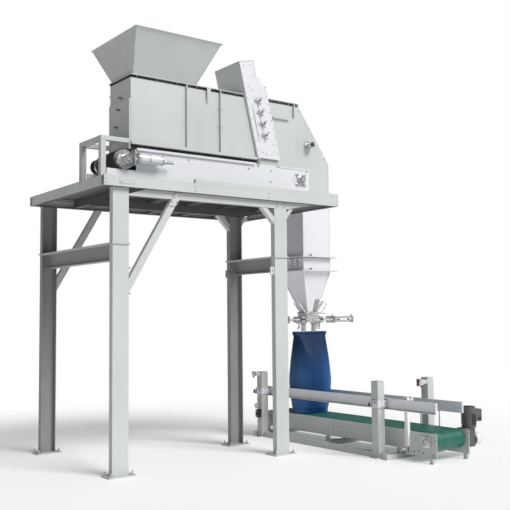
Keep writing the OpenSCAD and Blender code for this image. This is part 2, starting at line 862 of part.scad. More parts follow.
// Angled dust extraction stub
module dust_stub() {
    color(stainless) difference() {
        translate([dust_foot[0], dust_foot[1], funnel_bottom]) rotate([0, dust_tilt, 0]) difference() {
            translate([0, 0, -60]) cylinder(h = 225, r = 42);
            translate([0, 0, -61]) cylinder(h = 227, r = 38);
        }
        block([outlet_x, outlet_y - 200, funnel_bottom - 200], [outlet_x + 600, outlet_y + 200, funnel_bottom]);
    }
}

// Block under the funnel: passage for the product, seat of the rods, bracket for the dust stub
module spout_block() {
    low = 1480;
    plate_low = 1588;
    color("silver") difference() {
        union() {
            block([outlet_x - block_half, outlet_y - 85, low], [outlet_x + block_half, outlet_y + 85, funnel_bottom]);
            block([outlet_x + block_half, outlet_y - 85, plate_low],
                [outlet_x + 220, outlet_y + 60, funnel_bottom]);
        }
        block([outlet_x - 60, outlet_y - 40, low - 1], [outlet_x + 60, outlet_y + 40, funnel_bottom + 1]);
        for (s = [-1, 1]) rod_x(outlet_x - block_half - 1, outlet_x + block_half + 1,
            outlet_y + s * rod_y, rod_z, rod_r);
    }
}

// Two guide rods with an end plate at each end
module spreader_rods() {
    end_t = 16;
    color("silver") {
        for (s = [-1, 1]) rod_x(outlet_x - rail_half, outlet_x + rail_half, outlet_y + s * rod_y, rod_z, rod_r);
        for (x = [outlet_x - rail_half - end_t, outlet_x + rail_half]) difference() {
            block([x, outlet_y - 90, rod_z - 45], [x + end_t, outlet_y + 90, rod_z + 45]);
            rod_x(x - 1, x + end_t + 1, outlet_y, rod_z, piston_rod_r + run);
        }
    }
}

// Carriage on the guide rods with an arm under the block and a tube finger for the bag's mouth
module spreader_finger(side) {
    inner = block_half + carriage_gap;
    outer = inner + carriage_w;
    x = [outlet_x + side * inner, outlet_x + side * outer];
    arm_x = [outlet_x + side * (finger_x - finger_r), x[1]];
    arm_z = [rod_z - 53, rod_z - 39];
    fx = outlet_x + side * finger_x;
    color("silver") difference() {
        union() {
            block([min(x), outlet_y - 88, rod_z - 39], [max(x), outlet_y + 88, rod_z + 42]);
            block([min(arm_x), outlet_y - 34, arm_z[0]], [max(arm_x), outlet_y + 34, arm_z[1]]);
            translate([fx, outlet_y, bag_top + 6]) cylinder(h = arm_z[0] - bag_top - 6, r = finger_r);
            for (k = [0, 40]) translate([outlet_x + side * (outer - 10 - k), outlet_y - 20, arm_z[0] - 70])
                cube([8, 16, 70]);
        }
        for (s = [-1, 1]) rod_x(min(x) - 1, max(x) + 1, outlet_y + s * rod_y, rod_z, rod_r + run);
        translate([fx, outlet_y, bag_top + 5]) cylinder(h = arm_z[0] - bag_top - 5, r = finger_r - 4);
    }
}

module spreader_finger_left() { spreader_finger(-1); }
module spreader_finger_right() { spreader_finger(1); }

module spreader_cylinder() {
    half = 42;
    cap = 22;
    color("silver") difference() {
        union() {
            block([cylinder_x[0], outlet_y - half, rod_z - half], [cylinder_x[0] + cap, outlet_y + half, rod_z + half]);
            block([cylinder_x[1] - cap, outlet_y - half, rod_z - half], [cylinder_x[1], outlet_y + half, rod_z + half]);
            rod_x(cylinder_x[0], cylinder_x[1], outlet_y, rod_z, half - 4);
            block([cylinder_x[0] - 4, outlet_y - 20, rod_z - 20], [cylinder_x[0], outlet_y + 20, rod_z + 20]);
        }
        rod_x(cylinder_x[0] + cap, cylinder_x[1] - cap, outlet_y, rod_z, piston_r + run);
        rod_x(cylinder_x[0] - 5, cylinder_x[0] + cap + 1, outlet_y, rod_z, piston_rod_r + run);
    }
}

module cylinder_rod() {
    start = outlet_x + block_half + carriage_gap + carriage_w;
    piston_x = cylinder_x[0] + 90;
    color("silver") {
        rod_x(start, piston_x, outlet_y, rod_z, piston_rod_r);
        rod_x(piston_x, piston_x + 24, outlet_y, rod_z, piston_r);
    }
}

// Filled open-mouth bag: flat at its clamped mouth, round at its middle
module filled_bag() {
    base_z = belt_top + gap;
    mouth = [545, 60];
    foot = [480, 330];
    color(blue) hull() {
        bag_ring(foot, base_z, 20);
        bag_ring([bag_w - 30, bag_d - 40], base_z + 170, 20);
        bag_ring([bag_w, bag_d], base_z + 380, 60);
        bag_ring([bag_w - 50, bag_d - 110], base_z + 700, 20);
        bag_ring(mouth, bag_top - 20, 20);
    }
}

module bag_ring(size, z, h) {
    r = size[1] / 2;
    centre = outlet_x + 14;
    for (s = [-1, 1]) translate([centre + s * (size[0] / 2 - r), outlet_y, z])
        cylinder(h = h, r = r, $fn = 32);
}

// ---------- take-away conveyor ----------

module at_conveyor_sides() {
    translate([outlet_x, 0, 0]) children();
    translate([outlet_x, 0, 0]) mirror([1, 0, 0]) children();
}

base_w = 70;
base_h = 60;
cross_y = [-1180, 0, 1190];

module conveyor_base() {
    reach = post_half + post_w;
    tube_t = 5;
    base_x = [post_half + 15, post_half + 15 + base_w];
    upright_x = [frame_half - 18, frame_half];
    color(pale) {
        at_conveyor_sides() {
            tube_y(base_x, [-1115, post_front_y[0] - 1], [0, base_h], tube_t);
            tube_y(base_x, [post_front_y[0] + post_w + 1, post_front_y[1] - 1], [0, base_h], tube_t);
        }
        for (y = [cross_y[0], cross_y[2]])
            block([outlet_x - reach - 20, y, 0], [outlet_x + reach + 20, y + 62, base_h - 5]);
        block([outlet_x - post_half - 14, cross_y[1], 0], [outlet_x + post_half + 14, cross_y[1] + 62, base_h - 5]);
        for (y = cross_y) at_conveyor_sides()
            block([upright_x[0], y, base_h - 5 + weld_gap], [upright_x[1], y + 62, belt_top - frame_h]);
    }
}

// Square tube along Y
module tube_y(x, y, z, t) {
    difference() {
        block([x[0], y[0], z[0]], [x[1], y[1], z[1]]);
        block([x[0] + t, y[0] - 1, z[0] + t], [x[1] - t, y[1] + 1, z[1] - t]);
    }
}

// Posts with foot plates
module guide_posts() {
    foot_t = 10;
    color(pale) for (y = post_front_y) at_conveyor_sides() {
        translate([post_half, y, foot_t]) difference() {
            cube([post_w, post_w, post_h - foot_t]);
            translate([5, 5, -1]) cube([post_w - 10, post_w - 10, post_h - foot_t - 4]);
        }
        block([post_half - 3, y, 0], [post_half + post_w + 40, y + post_w, foot_t]);
    }
}

// Side plates of the conveyor with bearing plates and feet at the discharge end
module conveyor_frame() {
    low = belt_top - frame_h;
    bearing_y = [drive_y - 140, drive_y + 240];
    color(pale) at_conveyor_sides() {
        block([frame_half - frame_t, bearing_y[1], low], [frame_half, tail_y - 130, belt_top - 6]);
        difference() {
            block([frame_half, bearing_y[0], base_h], [frame_half + frame_t, bearing_y[1] + 60, belt_top - 6]);
            rod_x(frame_half - 1, frame_half + frame_t + 1, drive_y, drum_z, drum_shaft_r + 4);
        }
        difference() {
            block([frame_half, tail_y - 200, low], [frame_half + frame_t, tail_y + 60, belt_top - 6]);
            rod_x(frame_half - 1, frame_half + frame_t + 1, tail_y, drum_z, drum_shaft_r + 4);
        }
        block([frame_half, drive_y - 110, 0], [frame_half + 34, drive_y - 60, base_h]);
    }
}

module slider_bed() {
    color(pale) block(
        [outlet_x - frame_half + frame_t, drive_y + 250, belt_top - conveyor_belt_t - gap - 4],
        [outlet_x + frame_half - frame_t, tail_y - 130, belt_top - conveyor_belt_t - gap]);
}

module conveyor_belt() {
    color(green) translate([outlet_x - belt_w / 2, drive_y, drum_z]) rotate([90, 0, 90])
        linear_extrude(belt_w) belt_outline(tail_y - drive_y, drum_r + gap, conveyor_belt_t);
}

module drum_at(y, before, after) {
    face = belt_w - 4;
    color("silver") translate([outlet_x - face / 2, y, drum_z]) rotate([0, 90, 0])
        drum(face, drum_r, 8, drum_shaft_r, before, after);
}

module drive_drum() { drum_at(drive_y, 66, 150); }
module return_drum() { drum_at(tail_y, 66, 66); }

module drum_bearings() {
    color("silver") for (y = [drive_y, tail_y]) at_conveyor_sides() difference() {
        union() {
            rod_x(frame_half + frame_t, frame_half + frame_t + 32, y, drum_z, 44);
            block([frame_half + frame_t, y - 60, drum_z - 60], [frame_half + frame_t + 12, y + 60, drum_z + 60]);
        }
        rod_x(frame_half, frame_half + frame_t + 40, y, drum_z, drum_shaft_r + run);
    }
}

// Gear unit on the discharge drum's shaft with an upright motor on it and a hub at its side
module conveyor_gearmotor() {
    x0 = outlet_x + frame_half + frame_t + 36;
    unit = [161, 62];
    unit_z = [drum_z - 105, drum_z + 100];
    motor_x = x0 + 132;
    motor_r = 74;
    hub = [110, 62];
    shaft_depth = 90;
    color(dark) {
        difference() {
            block([x0, drive_y - unit[1], unit_z[0]], [x0 + unit[0], drive_y + unit[1], unit_z[1]]);
            rod_x(x0 - 1, x0 + shaft_depth, drive_y, drum_z, drum_shaft_r + run);
        }
        translate([motor_x, drive_y, unit_z[1]]) cylinder(h = 225, r = motor_r);
        block([motor_x + motor_r - 20, drive_y - 45, drum_z + 160],
            [motor_x + motor_r + 85, drive_y + 45, drum_z + 290]);
        rod_x(x0 + unit[0], x0 + unit[0] + hub[0], drive_y, drum_z - 35, hub[1]);
    }
}

// Guide rail with two collars that clamp on the posts; x grows away from the belt
module guide_rail(y_range, rail_z) {
    inner = rail_inner;
    collar_out = collar_t + collar_gap;
    difference() {
        block([inner, y_range[0], rail_z[0]], [inner + rail_t, y_range[1], rail_z[1]]);
        block([inner + rail_gauge, y_range[0] + rail_gauge, rail_z[0] + rail_gauge],
            [inner + rail_t + 1, y_range[1] - rail_gauge, rail_z[1] - rail_gauge]);
    }
    for (y = post_front_y) {
        difference() {
            block([inner + rail_gauge, y - collar_out, rail_z[0] + 20],
                [post_half + post_w + collar_out, y + post_w + collar_out, rail_z[1] - 20]);
            block([post_half - collar_gap, y - collar_gap, rail_z[0]],
                [post_half + post_w + collar_gap, y + post_w + collar_gap, rail_z[1]]);
        }
        rod_x(post_half + post_w + collar_out, post_half + post_w + collar_out + 45, y + post_w / 2,
            (rail_z[0] + rail_z[1]) / 2, 9);
        rod_x(post_half + post_w + collar_out + 45, post_half + post_w + collar_out + 70, y + post_w / 2,
            (rail_z[0] + rail_z[1]) / 2, 26);
    }
}

module near_guide_rail() { color(stainless) translate([outlet_x, 0, 0]) mirror([1, 0, 0]) guide_rail(near_rail_y, near_rail_z); }
module far_guide_rail() { color(stainless) translate([outlet_x, 0, 0]) guide_rail(far_rail_y, far_rail_z); }

// Post on the near side plate that carries a photo-electric sensor over the belt
module photo_eye_post() {
    y = -1330;
    top = 668;
    x1 = outlet_x - frame_half - frame_t;
    color("white") {
        block([x1 - 38, y, belt_top - frame_h + 30], [x1, y + 45, top]);
        rod_x(x1, x1 + 40, y + 22, top - 20, 9);
        block([x1 + 40, y + 4, top - 40], [x1 + 62, y + 40, top]);
    }
}

lower_columns();
upper_columns();
base_plates();
portal_beams();
portal_plates();
main_beams();
deck_channels();
deck_cross_members();
deck_plate();
braces();
tail_guard();
inlet_hopper();
bunker_side_panels();
bunker_end_panel();
casing_flanges();
roof_plate();
skirt_seals();
gate_housing();
gate_blade();
gate_knob_1();
gate_knob_2();
gate_knob_3();
gate_knob_4();
head_side_panels();
head_cover();
sensor_housing();
sensor_paddle();
feeder_feet();
belt_side_frames();
feeder_belt();
head_drum();
tail_drum();
head_bearings();
tail_bearings();
takeup_cylinders();
takeup_rods();
feeder_gearmotor();
discharge_duct();
duct_spool();
weigh_funnel();
dust_stub();
spout_block();
spreader_rods();
spreader_finger_left();
spreader_finger_right();
spreader_cylinder();
cylinder_rod();
filled_bag();
conveyor_base();
guide_posts();
conveyor_frame();
slider_bed();
conveyor_belt();
drive_drum();
return_drum();
drum_bearings();
conveyor_gearmotor();
near_guide_rail();
far_guide_rail();
photo_eye_post();
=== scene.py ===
"""Looks of the bag filling station: materials, fine mesh pieces, the cloth bag, camera, light and floor.

Everything is in metres in the CAD model's own frame: +Z up, the floor at Z = 0, +X from the inlet hopper to the
discharge duct, and -Y the side that the conveyor discharges to.
"""

import itertools
import json
import math

import bmesh
import bpy
import numpy as np
from mathutils import Matrix, Vector


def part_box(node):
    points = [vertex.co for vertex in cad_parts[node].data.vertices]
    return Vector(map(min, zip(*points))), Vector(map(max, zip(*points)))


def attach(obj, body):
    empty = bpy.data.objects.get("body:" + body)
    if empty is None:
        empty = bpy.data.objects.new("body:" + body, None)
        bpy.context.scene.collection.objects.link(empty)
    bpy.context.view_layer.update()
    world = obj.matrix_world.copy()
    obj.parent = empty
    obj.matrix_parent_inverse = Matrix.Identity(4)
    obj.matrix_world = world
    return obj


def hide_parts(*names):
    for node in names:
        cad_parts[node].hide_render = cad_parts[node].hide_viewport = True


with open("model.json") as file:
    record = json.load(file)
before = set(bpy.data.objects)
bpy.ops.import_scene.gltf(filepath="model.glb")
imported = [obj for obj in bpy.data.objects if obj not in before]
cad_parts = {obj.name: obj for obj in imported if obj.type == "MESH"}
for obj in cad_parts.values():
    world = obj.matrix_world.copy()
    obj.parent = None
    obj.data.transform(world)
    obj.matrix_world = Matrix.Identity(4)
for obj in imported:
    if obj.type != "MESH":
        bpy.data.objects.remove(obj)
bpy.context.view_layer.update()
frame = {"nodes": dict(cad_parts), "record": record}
NODES = frame["nodes"]
X, Y, Z = Vector((1, 0, 0)), Vector((0, 1, 0)), Vector((0, 0, 1))

# ---------------------------------------------------------------- camera

CAMERA_AT = Vector((-5.690, -7.624, 1.580))
CAMERA_YAW = math.radians(36.509)
CAMERA_PITCH = math.radians(4.158)
CAMERA_ROLL = math.radians(-0.545)
CAMERA_LENS = 58.316
SENSOR_WIDTH = 36.0


def make_camera():
    """Camera at the fitted viewing angle: yaw from +Y towards +X, pitch up, then roll."""
    forward = Vector((
        math.sin(CAMERA_YAW) * math.cos(CAMERA_PITCH),
        math.cos(CAMERA_YAW) * math.cos(CAMERA_PITCH),
        math.sin(CAMERA_PITCH),
    ))
    right = Vector((math.cos(CAMERA_YAW), -math.sin(CAMERA_YAW), 0.0))
    up = right.cross(forward)
    right_rolled = right * math.cos(CAMERA_ROLL) + up * math.sin(CAMERA_ROLL)
    up_rolled = up * math.cos(CAMERA_ROLL) - right * math.sin(CAMERA_ROLL)
    data = bpy.data.cameras.new("camera")
    data.sensor_width = SENSOR_WIDTH
    data.lens = CAMERA_LENS
    data.clip_end = 200.0
    camera = bpy.data.objects.new("camera", data)
    bpy.context.scene.collection.objects.link(camera)
    axes = Matrix((right_rolled, up_rolled, -forward)).transposed().to_4x4()
    camera.matrix_world = Matrix.Translation(CAMERA_AT) @ axes
    bpy.context.scene.camera = camera


make_camera()

# ---------------------------------------------------------------- material kit


class Nodes:
    """A material's node tree with short calls for the nodes used here."""

    def __init__(self, name):
        self.material = bpy.data.materials.new(name)
        self.material.use_nodes = True
        self.tree = self.material.node_tree
        self.shader = self.tree.nodes["Principled BSDF"]
        self.place = self.add("ShaderNodeTexCoord").outputs["Object"]

    def add(self, kind, inputs=None, **settings):
        node = self.tree.nodes.new(kind)
        for key, value in settings.items():
            setattr(node, key, value)
        for key, value in (inputs or {}).items():
            self.put(node.inputs[key], value)
        return node

    def put(self, socket, value):
        if isinstance(value, bpy.types.NodeSocket):
            self.tree.links.new(value, socket)
        else:
            socket.default_value = value

    def stretched(self, scale):
        return self.add("ShaderNodeMapping", {"Vector": self.place, "Scale": scale}).outputs["Vector"]

    def noise(self, scale, detail=3.0, stretch=None, rough=0.5):
        vector = self.stretched(stretch) if stretch else self.place
        inputs = {"Vector": vector, "Scale": scale, "Detail": detail, "Roughness": rough}
        return self.add("ShaderNodeTexNoise", inputs).outputs["Fac"]

    def span(self, value, low, high, from_low=0.0, from_high=1.0):
        inputs = {"Value": value, "From Min": from_low, "From Max": from_high, "To Min": low, "To Max": high}
        return self.add("ShaderNodeMapRange", inputs).outputs["Result"]

    def math(self, operation, a, b=0.0):
        node = self.add("ShaderNodeMath", operation=operation)
        self.put(node.inputs[0], a)
        self.put(node.inputs[1], b)
        return node.outputs[0]

    def mix(self, factor, a, b):
        node = self.add("ShaderNodeMix", data_type="RGBA")
        self.put(node.inputs["Factor"], factor)
        self.put(node.inputs[6], a)
        self.put(node.inputs[7], b)
        return node.outputs[2]

    def bump(self, height, strength, distance, normal=None):
        inputs = {"Height": height, "Strength": strength, "Distance": distance}
        if normal is not None:
            inputs["Normal"] = normal
        return self.add("ShaderNodeBump", inputs).outputs["Normal"]

    def rounded(self, radius):
        return self.add("ShaderNodeBevel", {"Radius": radius}, samples=4).outputs["Normal"]

    def edges(self, rounded):
        """About 1 along edges and 0 on flat faces."""
        geometry = self.add("ShaderNodeNewGeometry")
        dot = self.add("ShaderNodeVectorMath", operation="DOT_PRODUCT")
        self.put(dot.inputs[0], rounded)
        self.put(dot.inputs[1], geometry.outputs["Normal"])
        return self.span(dot.outputs["Value"], 1.0, 0.0, 0.75, 0.98)

    def finish(self, colour=None, roughness=None, normal=None, **constants):
        if colour is not None:
            self.put(self.shader.inputs["Base Color"], colour)
        if roughness is not None:
            self.put(self.shader.inputs["Roughness"], roughness)
        if normal is not None:
            self.put(self.shader.inputs["Normal"], normal)
        for key, value in constants.items():
            self.shader.inputs[key.replace("_", " ")].default_value = value
        return self.material


def rgba(colour, gain=1.0):
    return (colour[0] * gain, colour[1] * gain, colour[2] * gain, 1.0)


def paint(name, colour, rough=0.42, wear=0.35):
    """Sprayed machine paint: faint patches and runs, orange peel, and edges made lighter partly by rubbed paint
    and partly by a painted highlight.
    """
    n = Nodes(name)
    patches = n.span(n.noise(1.6, 4.0), 0.0, 1.0, 0.3, 0.7)
    base = n.mix(patches, rgba(colour, 0.94), rgba(colour, 1.04))
    streaks = n.span(n.noise(7.0, 3.0, stretch=(1.0, 1.0, 0.12)), 0.0, 0.22, 0.55, 0.8)
    base = n.mix(streaks, base, rgba(colour, 0.72))
    rounded = n.rounded(0.004)
    # Lighter edges: partly rubbed paint, partly a painted highlight along every edge.
    rubbed_edges_and_highlight = n.math("MULTIPLY", n.edges(rounded), n.span(n.noise(24.0, 4.0), 0.0, wear, 0.42, 0.62))
    base = n.mix(rubbed_edges_and_highlight, base, rgba(colour, 1.22))
    peel = n.noise(260.0, 2.0)
    roughness = n.span(n.noise(5.0, 5.0), rough - 0.07, rough + 0.1)
    return n.finish(base, roughness, n.bump(peel, 0.12, 0.0006, rounded), Specular_IOR_Level=0.45)


def stainless(name, colour, rough=0.36, metallic=0.22, grain=(1.0, 60.0, 60.0)):
    """Brushed sheet: fine lines along its grain, smudges and soft reflections."""
    n = Nodes(name)
    lines = n.noise(9.0, 5.0, stretch=grain, rough=0.65)
    smudges = n.noise(2.2, 4.0)
    base = n.mix(n.span(lines, 0.0, 1.0, 0.3, 0.7), rgba(colour, 0.92), rgba(colour, 1.05))
    base = n.mix(n.span(smudges, 0.0, 0.3, 0.5, 0.75), base, rgba(colour, 0.88))
    roughness = n.math("ADD", n.span(lines, rough - 0.06, rough + 0.08), n.span(smudges, 0.0, 0.08))
    normal = n.bump(lines, 0.1, 0.0006, n.rounded(0.003))
    return n.finish(base, roughness, normal, Metallic=metallic)


def machined(name, colour, rough=0.28, metallic=0.9):
    """Turned or zinc plated steel with small scratches."""
    n = Nodes(name)
    scratches = n.noise(40.0, 6.0, stretch=(1.0, 5.0, 1.0), rough=0.7)
    clouds = n.noise(14.0, 3.0)
    base = n.mix(n.span(clouds, 0.0, 1.0, 0.35, 0.65), rgba(colour, 0.86), rgba(colour, 1.05))
    roughness = n.span(scratches, rough - 0.05, rough + 0.16, 0.3, 0.7)
    normal = n.bump(scratches, 0.15, 0.0004, n.rounded(0.002))
    return n.finish(base, roughness, normal, Metallic=metallic)


def rubber(name, colour, pattern=900.0):
    """Matt rubber belt with a fabric impression and dusty patches."""
    n = Nodes(name)
    dust = n.span(n.noise(3.0, 5.0), 0.0, 0.5, 0.45, 0.75)
    base = n.mix(dust, rgba(colour), rgba((0.16, 0.16, 0.155)))
    grain = n.noise(pattern, 1.0)
    return n.finish(base, n.span(n.noise(8.0), 0.62, 0.85), n.bump(grain, 0.3, 0.0008), Specular_IOR_Level=0.35)


def belt_green(name, colour):
    """Smooth green belt cover with a fine knurl, run-in tracks along its length and dull patches."""
    n = Nodes(name)
    tracks = n.noise(5.0, 3.0, stretch=(7.0, 0.25, 1.0))
    base = n.mix(n.span(tracks, 0.0, 1.0, 0.35, 0.7), rgba(colour, 0.86), rgba(colour, 1.12))
    dust = n.span(n.noise(9.0, 5.0), 0.0, 0.12, 0.5, 0.8)
    base = n.mix(dust, base, rgba((0.45, 0.52, 0.48)))
    knurl = n.add("ShaderNodeTexVoronoi", {"Vector": n.place, "Scale": 240.0}).outputs["Distance"]
    roughness = n.span(tracks, 0.34, 0.55)
    return n.finish(base, roughness, n.bump(knurl, 0.25, 0.0008), Specular_IOR_Level=0.45)


def tint(colour, red, green, blue):
    return (colour[0] * red, colour[1] * green, colour[2] * blue, 1.0)


TAPE_PITCH = 0.0052


def woven(name, colour):
    """Woven plastic tape: crossing flat tapes, made paler towards both sides by painted light and darker
    towards the top by painted shade.
    """
    n = Nodes(name)
    pitch = 2.0 * math.pi / TAPE_PITCH
    sides = n.add("ShaderNodeSeparateXYZ", {"Vector": n.place})
    warp = n.math("SINE", n.math("MULTIPLY", n.math("ADD", sides.outputs["X"], sides.outputs["Y"]), pitch))
    weft = n.math("SINE", n.math("MULTIPLY", sides.outputs["Z"], pitch))
    weave = n.math("MULTIPLY", warp, weft)
    ridges = n.math("MAXIMUM", n.math("ABSOLUTE", warp), n.math("ABSOLUTE", weft))
    patches = n.span(n.noise(3.5, 4.0, stretch=(1.0, 1.0, 0.5)), 0.0, 1.0, 0.35, 0.7)
    filled = n.mix(patches, rgba(colour, 0.88), rgba(colour, 1.14))
    # Painted light: the right side of the bag is made paler, where the light falls on it.
    across = n.span(sides.outputs["X"], 0.0, 0.75, 1.30, 1.58)
    filled = n.mix(across, filled, tint(colour, 3.2, 3.8, 3.3))
    # Painted light: the left side of the bag is made paler and warmer, where the light falls on it.
    outer = n.span(sides.outputs["X"], 0.9, 0.0, 1.02, 1.17)
    filled = n.mix(outer, filled, tint(colour, 6.0, 3.0, 2.2))
    # Painted shade: the bag is darkened towards its top.
    empty = n.span(sides.outputs["Z"], 0.0, 0.95, 0.80, 1.20)
    base = n.mix(empty, filled, rgba(colour, 0.34))
    base = n.mix(n.span(weave, 0.0, 0.3, -1.0, 1.0), base, rgba(colour, 0.55))
    creases = n.noise(11.0, 5.0, stretch=(1.0, 1.0, 0.35), rough=0.6)
    normal = n.bump(ridges, 0.3, 0.001, n.bump(creases, 0.2, 0.005))
    roughness = n.span(weave, 0.42, 0.55, -1.0, 1.0)
    return n.finish(base, roughness, normal, Specular_IOR_Level=0.14)


def drive_paint(name, colour):
    """Thick dark drive paint with dust in the low spots, and edges made lighter partly by rubbed paint and
    partly by a painted highlight.
    """
    n = Nodes(name)
    rounded = n.rounded(0.004)
    # Lighter edges: partly rubbed paint, partly a painted highlight along every edge.
    edge = n.math("MULTIPLY", n.edges(rounded), n.span(n.noise(30.0), 0.0, 0.5, 0.4, 0.6))
    base = n.mix(edge, rgba(colour), rgba((0.30, 0.30, 0.31)))
    dust = n.span(n.noise(18.0, 5.0), 0.0, 0.25, 0.5, 0.8)
    base = n.mix(dust, base, rgba((0.20, 0.20, 0.19)))
    cast = n.noise(150.0, 4.0)
    return n.finish(base, n.span(cast, 0.38, 0.6), n.bump(cast, 0.25, 0.0009, rounded), Specular_IOR_Level=0.5)


def plain(name, colour, rough=0.5, grain=120.0, depth=0.0005, level=0.5):
    """Moulded or painted small part with a fine grain."""
    n = Nodes(name)
    fine = n.noise(grain, 3.0)
    base = n.mix(n.span(n.noise(12.0, 3.0), 0.0, 1.0, 0.35, 0.65), rgba(colour, 0.85), rgba(colour, 1.15))
    roughness = n.span(fine, rough - 0.08, rough + 0.1)
    return n.finish(base, roughness, n.bump(fine, 0.2, depth, n.rounded(0.0015)), Specular_IOR_Level=level)


PALE = (0.515, 0.540, 0.524)
STEEL_SHEET = (0.73, 0.74, 0.77)
MATERIALS = {
    "structure_paint": paint("structure_paint", PALE),
    # underside_paint is painted shade: near-black paint for undersides and inner faces that stand in shade.
    "underside_paint": paint("underside_paint", (0.085, 0.085, 0.087), rough=0.6, wear=0.1),
    "stainless_sheet": stainless("stainless_sheet", STEEL_SHEET),
    "bright_steel": machined("bright_steel", (0.62, 0.63, 0.64)),
    "black_rubber": rubber("black_rubber", (0.016, 0.016, 0.017)),
    "green_belt": belt_green("green_belt", (0.010, 0.118, 0.084)),
    "dark_motor": drive_paint("dark_motor", (0.085, 0.086, 0.090)),
    "woven_bag": woven("woven_bag", (0.011, 0.050, 0.160)),
    "white_paint": paint("white_paint", (0.80, 0.80, 0.80), rough=0.35),
}
BLACK = plain("black_plastic", (0.012, 0.012, 0.013), rough=0.42)
THREAD = plain("sewing_thread", (0.30, 0.42, 0.60), rough=0.8, grain=400.0)
LENS = plain("sensor_lens", (0.20, 0.015, 0.012), rough=0.12, level=0.8)
PAINT, STEEL, SHEET = MATERIALS["structure_paint"], MATERIALS["bright_steel"], MATERIALS["stainless_sheet"]
RUBBER, MOTOR, WHITE = MATERIALS["black_rubber"], MATERIALS["dark_motor"], MATERIALS["white_paint"]
PAINTED_UNDER_SHADING = MATERIALS["underside_paint"]
# Painted shade: a mid-grey paint for faces that stand in shade, on the rear columns, the portal beams and the
# funnel's front recess.
PAINTED_SHADE = paint("painted_shade_paint", (0.275, 0.284, 0.280), rough=0.5, wear=0.15)

# ---------------------------------------------------------------- materials of the CAD nodes

SLOT_OF = {entry["node"]: entry["material_slot"] for entry in frame["record"]["subparts"]}
for node_name, node_object in NODES.items():
    node_object.data.materials.clear()
    node_object.data.materials.append(MATERIALS[SLOT_OF[node_name]])


def darken(node, test, material=PAINTED_UNDER_SHADING):
    """Paints shade on the faces of a node that pass the test by giving them a darker material; test(centre,
    normal).
    """
    mesh = NODES[node].data
    mesh.materials.append(material)
    for face in mesh.polygons:
        if test(face.center, face.normal):
            face.material_index = 1


# Mask of painted shade: the deck's undersides and the inner faces of its channels.
def under_deck(centre, normal):
    low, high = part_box("deck_channels")
    edge = 0.012
    inside = low[0] + edge < centre.x < high[0] - edge and low[1] + edge < centre.y < high[1] - edge
    return normal.z < -0.5 or (inside and centre.z < high[2] - 0.06)


# Painted shade: the undersides and inner faces of the deck, and the undersides and rear faces of the main
# beams, are darkened.
darken("deck_channels", under_deck)
darken("deck_plate", lambda centre, normal: normal.z < -0.5)
darken("main_beams", lambda centre, normal: normal.z < -0.5 or normal.y > 0.5 or centre.y > 0.5)
# Painted shade: the rear columns' back faces and the whole portal beams get the mid-grey paint.
for column_node in ("lower_columns", "upper_columns"):
    darken(column_node, lambda centre, normal: centre.y > 0.5, PAINTED_SHADE)
darken("portal_beams", lambda centre, normal: True, PAINTED_SHADE)

# ---------------------------------------------------------------- kit for the fine pieces

MM = 0.001
SHARP = math.radians(32.0)


